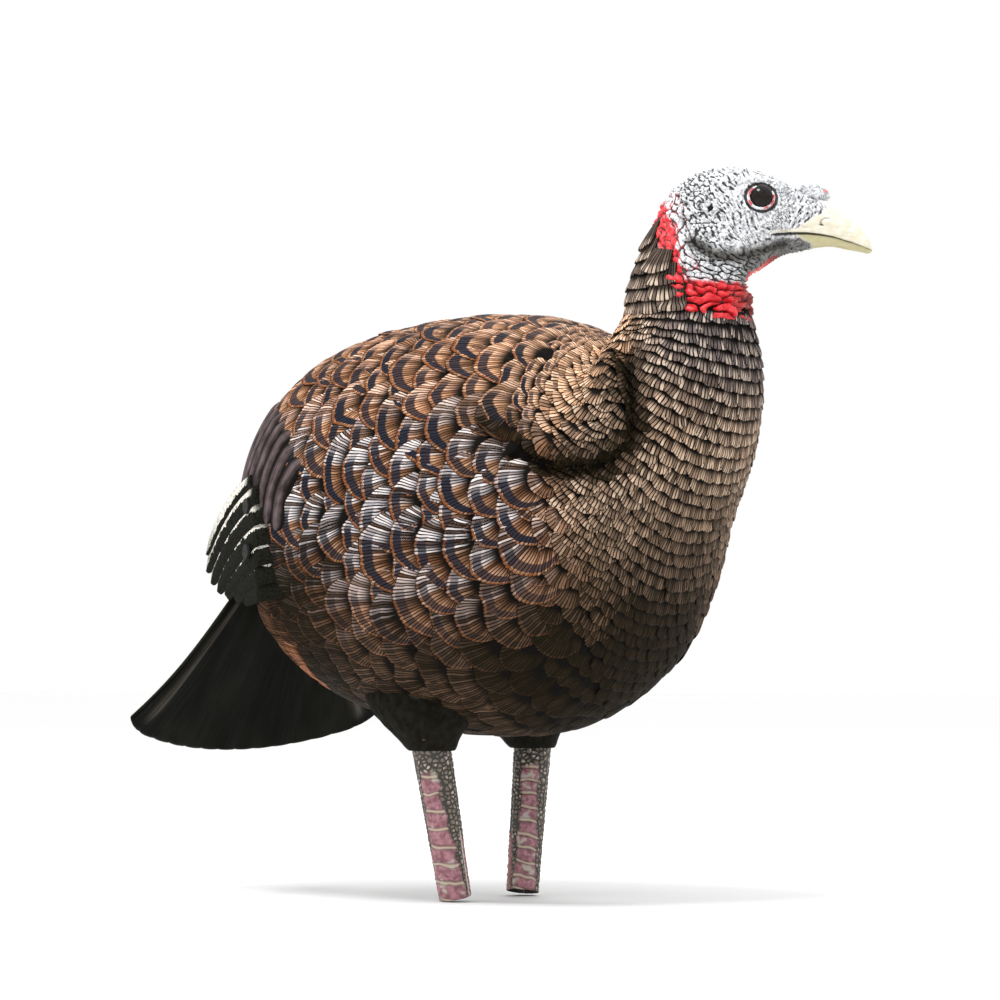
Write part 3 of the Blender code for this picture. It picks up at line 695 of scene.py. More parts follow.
class Nodes:
    """Short calls that add shader nodes to a new material or world and link them."""

    def __init__(self, owner):
        self.owner = owner
        owner.use_nodes = True
        self.tree = owner.node_tree

    def node(self, kind, inputs, output=0, **settings):
        """A new node's output as a wire; inputs maps sockets to wires or constants."""
        made = self.tree.nodes.new(kind)
        for key, value in settings.items():
            setattr(made, key, value)
        for key, value in inputs.items():
            self.feed(made.inputs[key], value)
        return Wire(self, made.outputs[output])

    def feed(self, socket, value):
        if isinstance(value, Wire):
            self.tree.links.new(value.socket, socket)
        elif socket.type == "RGBA":
            socket.default_value = (*value, 1.0)
        else:
            socket.default_value = value

    def math(self, operation, a, b=0.0):
        return self.node("ShaderNodeMath", {0: a, 1: b}, operation=operation)

    def wave(self, cycles):
        """A half sine over each whole cycle."""
        return self.math("SINE", self.math("FRACT", cycles) * math.pi)

    def random(self, value):
        return self.node("ShaderNodeTexWhiteNoise", {1: value}, "Value", noise_dimensions="1D")

    def ramp(self, value, low, high, start=0.0, end=1.0, kind="SMOOTHSTEP"):
        return self.node("ShaderNodeMapRange", {0: value, 1: low, 2: high, 3: start, 4: end},
                         interpolation_type=kind)

    def mix(self, share, a, b, blend="MIX"):
        made = self.tree.nodes.new("ShaderNodeMix")
        made.data_type, made.blend_type = "RGBA", blend
        for place, value in ((0, share), (6, a), (7, b)):
            self.feed(made.inputs[place], value)
        return Wire(self, made.outputs[2])

    def shade(self, colour, value):
        """The colour times a grey value."""
        grey = self.node("ShaderNodeCombineColor", {0: value, 1: value, 2: value})
        return self.mix(1.0, colour, grey, "MULTIPLY")

    def split(self, vector):
        """The x, y and z of a vector."""
        made = self.node("ShaderNodeSeparateXYZ", {0: vector}).socket.node
        return [Wire(self, output) for output in made.outputs]

    def attribute(self, name, output="Vector"):
        return self.node("ShaderNodeAttribute", {}, output, attribute_name=name)

    def parts(self, name):
        """The three values that a mesh carries in one vector attribute."""
        return self.split(self.attribute(name))

    def vector(self, x, y, z):
        return self.node("ShaderNodeCombineXYZ", {0: x, 1: y, 2: z})

    def noise(self, vector, scale, detail=2.0, rough=0.5):
        return self.node("ShaderNodeTexNoise", {"Vector": vector, "Scale": scale, "Detail": detail,
                                                "Roughness": rough}, "Fac")

    def position(self, output="Object"):
        return self.node("ShaderNodeTexCoord", {}, output)

    def bump(self, height, strength, distance):
        bump = self.node("ShaderNodeBump", {"Strength": strength, "Distance": distance, "Height": height})
        self.feed(self.tree.nodes["Principled BSDF"].inputs["Normal"], bump)

    def surface(self, colour, roughness, metallic=0.0, **sockets):
        """Finish the material with these values in its shader."""
        shader = self.tree.nodes["Principled BSDF"]
        values = {"Base Color": colour, "Roughness": roughness, "Metallic": metallic, **sockets}
        for key, value in values.items():
            self.feed(shader.inputs[key.replace("_", " ")], value)
        return self.owner


def paint(name):
    """Nodes of a new material."""
    return Nodes(bpy.data.materials.new(name))


SLATE = (0.010, 0.011, 0.017)
RIM = (0.20, 0.066, 0.022)
SILVER = (0.62, 0.58, 0.60)
OLIVE = (0.0082, 0.0064, 0.0025)
# The cream is a painted highlight on raised barbs; the black is painted shadow and shade in roots, edges,
# grooves and gaps.
HIGHLIGHT_CREAM = (0.72, 0.60, 0.46)
SHADE_BLACK = (0.006, 0.005, 0.004)


def feather_material(name, gap, stroke_low, tips):
    """Feathers with pale barb ridges over black grooves; the black in the grooves is painted shade.

    gap is where along a feather it comes out of the shadow, stroke_low how dark the painted shade in its
    grooves is, and tips how much cream painted highlight is on its raised barbs.  A dark mask below 0
    leaves out the painted shadow at the root.
    """
    n = paint(name)
    u, v, rand = n.parts("shape")
    cycles = n.parts("barb")[0]
    tint = n.attribute("tint", "Color")
    silver, dark, band = n.parts("mask")
    spot = rand * 40.0
    streak = n.noise(n.vector(cycles * 2.2, v * 3.0, spot), 1.0, 3.0, 0.6)
    own = n.random(n.math("FLOOR", cycles) + rand * 977.0)
    stroke = n.ramp(n.wave(cycles) + (streak - 0.5) * 1.1, 0.34, 0.74)
    fine = n.ramp(n.wave(cycles * 2.0) + (streak - 0.5) * 1.2, 0.25, 0.85)
    # Upper half silver: silver paint, and a painted highlight on the half that faces the light.
    upper = n.ramp(u + (streak - 0.5) * 0.2, -0.06, 0.12) * silver
    # Black in the barb grooves is painted shade; the ridges carry the paint's own colours.
    base = n.shade(tint, n.ramp(fine * 0.4 + stroke * 0.6, 0.1, 1, stroke_low, 1.9))
    base = n.shade(base, n.ramp(own, 0, 1, 0.5, 1.45))
    bright = n.shade(n.mix(n.ramp(own, 0.1, 0.6), tint, SILVER), n.ramp(own, 0, 1, 0.35, 1.35))
    bright = n.mix(stroke, SHADE_BLACK, bright)
    colour = n.mix(upper, base, bright)
    # Painted shade: darker toward the root, where the row above overhangs, a little lighter at the tip.
    colour = n.shade(colour, n.ramp(v, gap + 0.05, 0.86, 0.38, 1.1))
    edge = v + (streak - 0.5) * 0.05
    lower_side = n.ramp(u, 0.15, 0.6, 1.0, 0.0)
    inside = n.ramp(edge, 0.8, 0.83) * n.ramp(edge, 0.94, 0.95, 1.0, 0.0)
    inside = inside * band * (lower_side * n.ramp(rand, 0, 1, 0.88, 1.0))
    # Cream on the raised barbs is a painted highlight on the ridge tops.
    ridge_highlight = stroke * n.ramp(own, 0.45, 0.85) * n.ramp(v, gap + 0.05, 0.9)
    ridge_highlight = ridge_highlight * (1.0 - inside)
    colour = n.mix(ridge_highlight * n.ramp(dark, 0, 0.7, tips, 0.0), colour, HIGHLIGHT_CREAM)
    colour = n.mix(inside, colour, n.shade(SLATE, n.ramp(stroke + streak, 0.3, 1.5, 0.7, 1.7)))
    rib_highlight_and_rim_wear = n.ramp(n.noise(n.vector(u * 3.0, spot, 0.0), 1.0, 1.0), 0.35, 0.6, 0.25, 1.0)
    rim = n.ramp(edge, 0.948, 0.958) * band * (lower_side * rib_highlight_and_rim_wear)
    colour = n.mix(rim, colour, RIM)
    # Painted shadow: a black line along the tip edge.
    colour = n.mix(n.ramp(v, 0.98, 0.992, 0.0, 0.85), colour, SHADE_BLACK)
    # The dark mask brings in dark olive: dark paint, and painted shade toward the belly and in the crease.
    faint = stroke * n.ramp(own, 0.2, 0.9) * n.ramp(dark, 0.84, 1.0, 0.65, 0.06)
    dark_paint_and_shade = n.mix(faint, OLIVE, n.shade(tint, 0.6))
    colour = n.mix(dark * n.ramp(rim, 0, 1, 0.97, 0.72), colour, dark_paint_and_shade)
    # Painted shadow: black at the root, under the row above; a dark mask below 0 leaves it out.
    colour = n.mix(n.ramp(v, gap, gap + 0.13, 1.0, 0.0) * n.ramp(dark, -1.0, -0.5, 0.1, 1.0), colour, SHADE_BLACK)
    # Painted shadow: black along the sides, where neighbours overlap.
    colour = n.mix(n.ramp(abs(u), 0.86, 1.0, 0.0, 0.85), colour, SHADE_BLACK)
    n.bump(stroke * 0.75 + streak * 0.5, 0.8, 0.0006)
    return n.surface(colour, n.ramp(streak, 0.3, 0.7, 0.75, 0.55), Specular_IOR_Level=0.035)


def plain_material(name, colour, spread, roughness, scale, metallic=0.0, bump=0.0002, **sockets):
    """A moulded or worn surface: two-tone mottling, fine grain and uneven gloss."""
    n = paint(name)
    place = n.position()
    coarse = n.noise(place, scale, 3.0)
    fine = n.noise(place, scale * 9, 2.0)
    base = n.mix(n.ramp(coarse, 0.35, 0.65), colour, tuple(c * spread for c in colour))
    n.bump(coarse * 0.5 + fine, 0.4, bump)
    rough = n.ramp(fine, 0.3, 0.7, roughness - 0.06, roughness + 0.08)
    return n.surface(base, rough, metallic, **sockets)


def skin_material():
    """Bare head: pale grey skin, red wattle and ivory beak, with painted shade, near black, in the folds and
    grooves and painted shadow under the jaw and beak.
    """
    n = paint("bare_skin")
    fold_shade, red, beak = n.parts("paint_a")
    dark, lid, olive = n.parts("paint_b")
    place = n.position()
    mottle = n.noise(place, 260.0, 4.0, 0.6)
    fine = n.noise(place, 1500.0, 2.0)
    speck = n.noise(place, 620.0, 3.0, 0.65)
    skin = n.mix(n.ramp(mottle * 0.3 + speck * 0.7, 0.4, 0.58), (0.3, 0.31, 0.33), (0.8, 0.81, 0.82))
    bone = n.mix(n.ramp(mottle, 0.3, 0.7), (0.76, 0.69, 0.54), (0.88, 0.85, 0.77))
    bone = n.mix(olive * 0.8, bone, (0.42, 0.38, 0.17))
    colour = n.mix(beak, skin, bone)
    scarlet = n.mix(n.ramp(mottle, 0.35, 0.7), (0.52, 0.012, 0.018), (0.8, 0.06, 0.07))
    colour = n.mix(n.ramp(red + (mottle - 0.5) * 0.5, 0.35, 0.62), colour, scarlet)
    rose = lid * n.ramp(n.noise(place, 190.0, 1.0), 0.52, 0.6)
    colour = n.mix(lid, colour, (0.8, 0.8, 0.82))
    colour = n.mix(rose, colour, (0.6, 0.05, 0.06))
    # Painted shadow under the jaw and beak.
    colour = n.mix(dark * 0.92, colour, (0.035, 0.03, 0.02))
    # Painted shade, near black, in the folds and grooves.
    colour = n.mix(n.ramp(fold_shade, 0.12, 0.75) * 0.95, colour, (0.012, 0.01, 0.01))
    n.bump(mottle * 0.6 + fine * 0.4, 0.5, 0.0004)
    return n.surface(colour, n.ramp(red, 0.2, 0.8, 0.55, 0.34), Specular_IOR_Level=0.22)


def quill_material(name, low, high):
    """Long smooth feathers: soft streaks along a rounded back with a painted highlight down the middle, and
    painted shadow, near black, in the gaps between them.
    """
    n = paint(name)
    u, v, rand = n.parts("shape")
    spot = rand * 60.0
    streak = n.noise(n.vector(u * 4.5, v * 3.0, spot), 1.0, 4.0, 0.6)
    cloud = n.noise(n.vector(u * 0.8, v * 7.0, spot), 1.0, 2.0)
    # Painted highlight down the middle of each feather, fading toward its sides.
    rounded = n.ramp(abs(u + (cloud - 0.5) * 0.3), 0.05, 0.7, 1.0, 0.0)
    bright = rounded * n.ramp(streak * 0.6 + cloud * 0.4, 0.38, 0.62, 0.25, 1.0)
    colour = n.mix(bright, low, high)
    # Painted shadow in the gaps between the feathers.
    colour = n.mix(n.ramp(abs(u), 0.54, 0.74), colour, SHADE_BLACK)
    n.bump(streak, 0.4, 0.0005)
    return n.surface(colour, n.ramp(streak, 0.3, 0.7, 0.7, 0.6), Specular_IOR_Level=0.04)


def barred_material():
    """Black flight feathers with thin ragged white edges; mask x sets how white a feather is."""
    n = paint("barred_quill")
    u, v, rand = n.parts("shape")
    white = n.parts("mask")[0]
    spot = rand * 50.0
    notch = n.noise(n.vector(u * 0.8, v * 18.0, spot), 1.0, 3.0, 0.6)
    fine = n.noise(n.vector(u * 6.0, v * 60.0, spot), 1.0, 2.0)
    reach = u + (notch - 0.5) * 1.1 + white * 1.35
    share = n.ramp(reach + (fine - 0.5) * 0.5, 0.56, 0.66)
    share = share * n.ramp(v, 0.03, 0.12)
    dark = n.mix(n.ramp(fine, 0.3, 0.7), (0.005, 0.005, 0.004), (0.013, 0.013, 0.009))
    pale = n.mix(n.ramp(fine, 0.35, 0.65), (0.4, 0.36, 0.28), (0.82, 0.8, 0.75))
    colour = n.mix(share, dark, n.shade(pale, n.ramp(v, 0.6, 1.0, 1.0, 0.45)))
    # Painted shadow along each feather's edges.
    colour = n.mix(n.ramp(abs(u), 0.9, 1.0), colour, SHADE_BLACK)
    n.bump(fine, 0.3, 0.0003)
    return n.surface(colour, n.ramp(fine, 0.3, 0.7, 0.6, 0.48), Specular_IOR_Level=0.01)


def tail_material():
    """Near-black moulded tail with an olive cast, a painted highlight on its pale ribs and, on its back,
    chestnut bars.
    """
    n = paint("tail_paint")
    spread, along, rib = n.parts("shape")
    top = n.parts("mask")[0]
    barbs = n.noise(n.vector(spread * 40.0, along * 3.0, top), 1.0, 3.0)
    cloud = n.noise(n.position(), 16.0, 3.0)
    dark = n.mix(n.ramp(cloud, 0.4, 0.64), (0.003, 0.0032, 0.0022), (0.0085, 0.0085, 0.005))
    bars = n.noise(n.vector(spread * 13.0, along * 46.0, 3.0), 1.0, 2.0, 0.6)
    chestnut = n.mix(n.ramp(bars, 0.46, 0.58), (0.012, 0.009, 0.006), (0.05, 0.024, 0.011))
    tip = n.ramp(along, 0.93, 0.96) * n.ramp(barbs, 0.3, 0.6, 0.6, 1.0)
    upper = n.mix(tip, chestnut, (0.15, 0.075, 0.034))
    upper = n.mix(n.ramp(abs(spread), 0.93, 0.98), upper, (0.01, 0.01, 0.007))
    colour = n.mix(top, dark, upper)
    # Painted highlight on the raised ribs.
    rib_highlight_and_rim_wear = rib * n.ramp(barbs, 0.35, 0.6, 0.35, 0.9)
    colour = n.mix(rib_highlight_and_rim_wear, colour, (0.085, 0.075, 0.062))
    n.bump(barbs * 0.7 + cloud * 0.3, 0.35, 0.0005)
    return n.surface(colour, n.ramp(barbs, 0.3, 0.7, 0.66, 0.52), Specular_IOR_Level=0.035)


def leg_material():
    """Printed leg: pink scutes between pale lines, grey pebbles behind them, a red stripe and a pale seam."""
    n = paint("leg_paint")
    scute, line, cell = n.parts("paint_a")
    seam, red, groove = n.parts("paint_b")
    place = n.position()
    mottle = n.noise(place, 330.0, 4.0, 0.65)
    patch = n.noise(place, 150.0, 2.0)
    pink = n.mix(n.ramp(mottle, 0.35, 0.65), (0.17, 0.06, 0.075), (0.38, 0.17, 0.2))
    pink = n.mix(n.ramp(patch, 0.58, 0.66), pink, (0.4, 0.35, 0.3))
    net = n.mix(n.ramp(cell, 0.35, 0.8), (0.022, 0.018, 0.011), (0.14, 0.11, 0.08))
    net = n.mix(n.ramp(cell, 0.72, 0.9) * n.ramp(mottle, 0.5, 0.62), net, (0.44, 0.37, 0.34))
    colour = n.mix(scute, net, pink)
    colour = n.mix(line, colour, (0.46, 0.38, 0.28))
    colour = n.mix(groove, colour, (0.03, 0.02, 0.016))
    colour = n.mix(red, colour, (0.2, 0.022, 0.024))
    colour = n.mix(seam, colour, (0.55, 0.5, 0.46))
    n.bump(mottle, 0.35, 0.0003)
    return n.surface(colour, n.ramp(mottle, 0.3, 0.7, 0.5, 0.36), Specular_IOR_Level=0.5)


def eye_material():
    """Polished near-black eye."""
    n = paint("eye_glass")
    place = n.noise(n.position(), 900.0, 2.0)
    colour = n.mix(n.ramp(place, 0.4, 0.6), (0.004, 0.003, 0.003), (0.012, 0.007, 0.005))
    return n.surface(colour, n.ramp(place, 0.3, 0.7, 0.05, 0.08), Specular_IOR_Level=0.2)


# ---------------------------------------------------------------- head

HEAD_ROWS, HEAD_COLUMNS = 372, 250
HEAD_FIRST, HEAD_LAST = -0.58, 13.97
# Mouth line, nostril, ear and jaw fold as (x, z) in the head's own frame.
MOUTH = np.array(((45.0, 366.4), (55.8, 367.4), (65.0, 367.6), (72.0, 367.1), (79.0, 366.0), (90.0, 362.9),
                  (103.0, 358.6)))
NOSTRIL = (75.8, 374.2)
EAR = np.array((11.5, 381.0))
JAW_FOLD = np.array(((52.0, 361.0), (40.0, 357.5), (27.0, 353.5), (12.0, 354.5), (2.0, 361.0)))
# Edge between the neck feathers and the bare skin, from the front of the throat back and up to the nape.
FEATHER_EDGE = np.array(((40.0, 320.0), (22.0, 318.0), (5.0, 318.8), (-3.2, 323.1), (-8.0, 329.9),
                         (-12.7, 336.9), (-16.7, 353.5), (-19.2, 370.2), (-21.0, 380.0)))


def into_skin(x, z):
    """Distance inside the bare skin from its edge with the feathers; negative over the feathers."""
    d = segment_distance(stacked(x, z), FEATHER_EDGE)[0]
    edge_x = np.interp(z, FEATHER_EDGE[2:, 1], FEATHER_EDGE[2:, 0])
    edge_z = np.interp(x, FEATHER_EDGE[2::-1, 0], FEATHER_EDGE[2::-1, 1])
    return np.where((x > edge_x) & (z > edge_z), d, -d)


def beak_share(p, gape):
    """1 on the beak and 0 on the skin, with an uneven edge between them."""
    x, z = p[..., 0], p[..., 2]
    edge = np.where(gape > 0, 56.5 + 19.0 * smooth(z, 367.5, 384.0), 58.5 + 1.6 * np.clip(-gape, 0, 6))
    edge = edge + 1.6 * noise3(p / 3.0, 10)
    return smooth(x - edge, -1.8, 1.8)


def fine_folds(p, skin):
    """Fine wrinkles down the cheek that turn level at the beak, and pebbles on the crown."""
    x, y = p[..., 0], p[..., 1]
    q = p + noise3(p / 9.0, 11)[..., None] * np.array((2.0, 0.0, 2.0))
    front = smooth(x, 44, 56)
    down = (q[..., 0] * 0.64 - q[..., 2] * 0.77) * (1 - front) + (q[..., 0] * 0.5 + q[..., 2] * 0.87) * front
    across = (q[..., 0] * 0.77 + q[..., 2] * 0.64) * (1 - front)
    across = across + (q[..., 0] * 0.87 - q[..., 2] * 0.5) * front
    fold = noise3(stacked(down / 3.6, y / 3.0, across / 0.95), 12)
    small = noise3(stacked(down / 1.9, y / 1.6, across / 0.70), 13)
    height = skin * (-0.44 * smooth(fold, 0.0, 0.5) - 0.38 * smooth(small, 0.0, 0.45))
    near, next_near = cells3(p / 2.7, 14)
    pebble = (1 - smooth(x, 6, 24)) * skin
    return height + pebble * (0.9 * smooth(next_near - near, 0.0, 0.4) - 0.5)


def wattle_lumps(p):
    """Fat folds that run down and forward at the nape and level at the throat: lump, swell and gap width."""
    x, y, z = p[..., 0], p[..., 1], p[..., 2]
    slope = math.radians(42.0) * smooth(z, 332, 362)
    round_neck = 30.0 * np.arctan2(x - 2.0, np.maximum(np.abs(y), 0.1)) * 1.1
    run = round_neck * np.cos(slope) - (z - 345) * np.sin(slope)
    rise = round_neck * np.sin(slope) + (z - 345) * np.cos(slope)
    place = stacked(run / 12.5, 0.31 + np.sign(y) * 0.9, rise / 4.6)
    bend = stacked(noise3(p / 6.0, 15), 0.0, noise3(p / 4.5, 19)) * np.array((0.55, 0.0, 0.5))
    fine_bend = stacked(noise3(p / 2.2, 24), 0.0, noise3(p / 2.2, 25)) * 0.10
    near, next_near = cells3(place + bend + fine_bend, 16)
    lump = smooth(next_near - near, -0.02, 0.34) * (1 - 0.5 * smooth(near, 0.15, 0.8))
    swell = 0.6 + 0.6 * smooth(noise3(place * 0.8, 17), -0.5, 0.6)
    return lump, swell, next_near - near


def nostril_relief(x, z, side):
    """Height of the flap over the nostril, and the distance from its rim, which is open at the front."""
    flap = np.hypot((x - NOSTRIL[0]) / 3.7, (z - NOSTRIL[1]) / 2.3)
    rim = 2.6 * np.abs(flap - 1) + 50 * (side < 1.5)
    rim = rim + 3.0 * smooth(x - z, NOSTRIL[0] - NOSTRIL[1] - 2, NOSTRIL[0] - NOSTRIL[1] + 4)
    return 0.6 * hill(flap, 0, 1) * smooth(side, 1, 3) - 0.5 * hill(rim, 0, 1.2), rim


def head_relief(p):
    """Height added to the head skin at p, and how it is painted."""
    x, z, side = p[..., 0], p[..., 2], np.abs(p[..., 1])
    above = into_skin(x, z)
    inside = smooth(above, -1.2, 0.6)
    gape = z - np.interp(x, MOUTH[:, 0], MOUTH[:, 1])
    beak = beak_share(p, gape)
    skin = 1 - beak

    # Where the wattle, the lesser folds behind it and the throat's loose skin lie.
    lump, swell, gap = wattle_lumps(p)
    throat = smooth(x, 20, 28) * (1 - smooth(side, 5, 11)) * (1 - smooth(z, 353, 359)) * inside
    wattle = np.maximum(1 - smooth(above, 10.0, 17.0), 1 - smooth(z, 336, 349)) * inside * skin
    wattle = np.maximum(wattle, throat * (1 - smooth(z, 340, 354)))
    folds = np.maximum(1 - smooth(above, 15.0, 27.0), 1 - smooth(z, 347, 362)) * inside * skin
    folds = folds * (1 - smooth(x, 30, 44))
    height = fine_folds(p, skin) * (1 - 0.8 * wattle)
    fat = 4.4 - 3.0 * smooth(z, 335, 352)
    height = height + wattle * (fat * lump * swell - 1.0 + 0.5 * noise3(p / 1.6, 26))
    height = height + (folds - np.minimum(folds, wattle)) * (2.3 * lump * swell - 0.9)

    # Ear hole, jaw fold, mouth line, nostril and brow.
    ear = np.hypot(x - EAR[0], z - EAR[1]) + 50 * (side < 8)
    ear = ear + 0.9 * smooth(x - EAR[0], 0.0, 1.6) * (1 - smooth(ear, 2.0, 4.0))
    height = height - 2.4 * (1 - smooth(ear, 1.0, 2.0)) + 1.0 * hill(ear, 3.1, 0.9)
    jaw = segment_distance(stacked(x, z), JAW_FOLD)[0]
    height = height - 1.4 * hill(jaw, 0, 2.6) * skin * smooth(side, 3, 9)
    mouth = smooth(x, 43, 48) * smooth(side, 0.3, 1.5)
    height = height - mouth * (1.5 * hill(gape, 0, 0.75) + 0.6 * smooth(-gape, 0.2, 1.0))
    nostril, nostril_rim = nostril_relief(x, z, side)
    height = height + nostril + 0.25 * beak * noise3(p / np.array((9.0, 3.0, 1.6)), 18)
    brow = np.hypot(x - EYE[0], z - EYE[2])
    height = height + hill(brow, 12.5, 2.5) * smooth(z, 388, 395) * skin
    height = height * inside - 1.6 * (1 - inside)

    # Paint: scarlet folds, painted shadow under jaw and beak, ivory beak with an olive lower edge, and
    # painted shade, near black, in the grooves.
    near_edge = 1 - smooth(above + 4.0 * noise3(p / 5.0, 27), 7.0, 13.0)
    red = wattle * (0.22 + 0.78 * np.maximum(near_edge, 1 - smooth(z, 334, 346)))
    red = red * (0.85 + 0.3 * noise3(p / 6.0, 20))
    edge_red = folds * hill(lump, 0.30, 0.20) * (1 - smooth(above, 18, 26)) * 0.8
    red = np.clip(np.maximum(np.maximum(red, edge_red), 0.95 * throat), 0, 1)
    shade = hill(np.maximum(jaw - 1.0, 0), 0, 3.4) * (1 - throat) * skin * smooth(side, 2, 6)
    under = smooth(x, 20, 34) * (1 - smooth(z, 357, 363)) * smooth(side, 4, 8) * skin
    under = np.maximum(under, smooth(x, 40, 50) * (1 - smooth(gape, -3.6, -1.4)) * skin)
    lip = mouth * skin * hill(gape, 1.7, 0.9)
    shade = np.maximum(shade, 0.85 * under) * (1 - lip)
    bone = np.clip(beak + 0.9 * lip, 0, 1)
    olive = np.clip(beak * (0.25 + 0.75 * smooth(-gape, -1.6, 0.2)) + 0.4 * lip, 0, 1)
    # Painted shade, near black, in the mouth line, round the nostril, in the ear hole and between the wattle
    # lumps.
    cut = mouth * hill(gape, 0, 0.75) * (1 - 0.65 * smooth(x, 62, 88))
    cut = np.maximum(cut, 0.5 * hill(nostril_rim, 0, 0.75))
    cut = np.maximum(cut, 1 - smooth(ear, 1.1, 2.0))
    cut = np.maximum(cut, np.maximum(wattle, 0.45 * folds) * (1 - smooth(gap, 0.015, 0.10)))
    return height, red, bone, shade, olive, cut


def blurred(values, reach):
    """Box blur over rows and, wrapped, columns."""
    total = np.zeros_like(values)
    for shift in range(-reach, reach + 1):
        total += np.roll(values, shift, axis=1)
    values = total / (2 * reach + 1)
    padded = np.concatenate([values[:1].repeat(reach, 0), values, values[-1:].repeat(reach, 0)])
    return sum(padded[k:k + len(values)] for k in range(2 * reach + 1)) / (2 * reach + 1)


def open_eyes(points):
    """Wrap the skin round the eyeballs.

    Gives the points and, for the paint, each point's place from the eye's middle, whether it is inside
    the lids, and how far it moved.
    """
    x, y, z = points[..., 0], points[..., 1], points[..., 2]
    opening = np.hypot((x - EYE[0]) / 6.1, (z - EYE[2]) / 5.5) + 9 * (np.abs(y) < 8)
    off_axis = np.hypot(x - EYE[0], z - EYE[2])
    ball = EYE[1] + np.sqrt(np.maximum(EYE_R ** 2 - off_axis ** 2, 0.0))
    inside = 1 - smooth(opening, 0.90, 1.03)
    lateral = np.abs(y) * (1 - inside) + (ball - 1.6) * inside
    lateral = lateral + 1.4 * hill(opening, 1.14, 0.12) - 0.9 * hill(opening, 1.42, 0.11)
    moved = np.where(opening < 5, lateral - np.abs(y), 0)
    return stacked(x, np.sign(y) * lateral, z), opening, inside, moved


def build_head_skin(skin, material):
    """Bare head and beak in one closed skin, sunk under the nape feathers."""
    t = np.linspace(HEAD_FIRST, HEAD_LAST, HEAD_ROWS)[:, None]
    a = (np.arange(HEAD_COLUMNS) / HEAD_COLUMNS)[None]
    t, a = np.broadcast_arrays(t, a)
    points, normals = skin.place(t, a), skin.normal(t, a)
    height, red, beak, shade, olive, cut = head_relief(points)
    centre = points.mean(axis=1, keepdims=True)
    close = np.sqrt(1 - 0.97 * np.clip((t - 13.35) / 0.62, 0, 1) ** 2)[..., None]
    points = centre + (points - centre) * close
    points = points + normals * (height * (1 - smooth(t, 13.0, HEAD_LAST)))[..., None]
    points, opening, inside, moved = open_eyes(points)
    carved = height + moved
    # Painted shade, near black: deeper where the skin lies below its blurred surroundings, less on the red
    # folds, and full in the grooves, inside the lid opening and in a ring round the lid.
    narrow = np.clip((blurred(carved, 3) - carved) / 0.42, 0, 1)
    wide = np.clip((blurred(carved, 8) - carved) / 1.2, 0, 1)
    fold_shade = (narrow + 0.35 * wide) * (1 - 0.72 * smooth(red, 0.3, 0.6))
    fold_shade = np.maximum(np.maximum(fold_shade, cut), inside) + 0.8 * hill(opening, 1.40, 0.10)
    inner = points[0] * np.array((0.90, 0.90, 0.0)) + np.array((0, 0, 324.8))
    points = np.concatenate([inner[None], points])
    lid = hill(opening, 1.14, 0.13, 4)
    values = {"paint_a": stacked(fold_shade, red, beak), "paint_b": stacked(shade, lid, olive)}
    values = {key: np.concatenate([value[:1], value]) for key, value in values.items()}
    obj = tube_object("head_skin", head_to_world(points), values, 0)
    finish_piece(obj, material, "head", "head_skin", "head_shell")


def rings_along(path, radii, columns, flatten=1.0):
    """Rings of a bent tapering tube along path (n, 3), square to it."""
    path = np.asarray(path, float)
    run = unit(np.gradient(path, axis=0))
    across = unit(np.cross(run, np.array((0.0, 1.0, 0.0)) + 0 * run))
    lateral = np.cross(run, across)
    angle = math.tau * np.arange(columns) / columns
    cos, sin = np.cos(angle)[None, :, None], np.sin(angle)[None, :, None]
    ring = cos * across[:, None] + flatten * sin * lateral[:, None]
    return path[:, None] + np.asarray(radii)[:, None, None] * ring


def resample(values, count):
    """Catmull-Rom through a short list of equal rows."""
    return spline_rows(values, np.linspace(0, len(values) - 1, count))


# The fleshy knob over the beak, as (x, y, z, radius).
SNOOD = ((55.0, 0, 390.5, 1.6), (59.0, 0, 391.6, 4.3), (65.0, 0, 392.3, 4.9), (70.0, 0, 391.9, 4.6),
         (74.0, 0, 390.7, 3.3), (76.4, 0, 388.9, 2.1), (77.3, 0, 387.5, 0.8))


def build_snood(material):
    """A wrinkled knob that lies forward over the beak, pink at its tip."""
    rows = resample(SNOOD, 60)
    grid = rings_along(rows[:, :3], rows[:, 3], 48, 0.85)
    wrinkle = noise3(grid / 1.5, 21) * 0.22 + noise3(grid / 4.0, 22) * 0.35
    grid = grid + unit(grid - rows[:, None, :3]) * wrinkle[..., None]
    pink_tip = smooth(grid[..., 0], 71.5, 74.5) * smooth(noise3(grid / 2.6, 23) + 0.25, -0.2, 0.25)
    # The first paint value is painted shade in the hollows of the wrinkles.
    paint_a = stacked(np.clip(-wrinkle * 2.2, 0, 1), 0.50 * pink_tip, 0.0)
    obj = tube_object("snood", head_to_world(grid), {"paint_a": paint_a, "paint_b": 0 * paint_a}, 0)
    finish_piece(obj, material, "head", "head_skin")


def build_eyes(material):
    """Glass-like eyes with a slightly fuller cornea at their outer pole."""
    for name, side in SIDES:
        polar = np.linspace(0.03, math.pi - 0.03, 48)[:, None]
        round_ = (math.tau * np.arange(64) / 64)[None]
        r = EYE_R + 0.35 * hill(polar, 0, 0.55)
        across = r * np.sin(polar)
        grid = stacked(across * np.cos(round_), r * np.cos(polar), across * np.sin(round_))
        grid = (grid + EYE) * np.array((1, side, 1))
        if side > 0:
            grid = grid[:, ::-1]
        obj = tube_object(name + "_glass_eye", head_to_world(grid), {}, 0)
        finish_piece(obj, material, "head", "eye_gloss", name + "_eye")


def skin_depth(skin, t, a):
    """Distance inside the bare skin and height of places on the head."""
    p = skin.place(t, a)
    return into_skin(p[..., 0], p[..., 2]), p[..., 2]


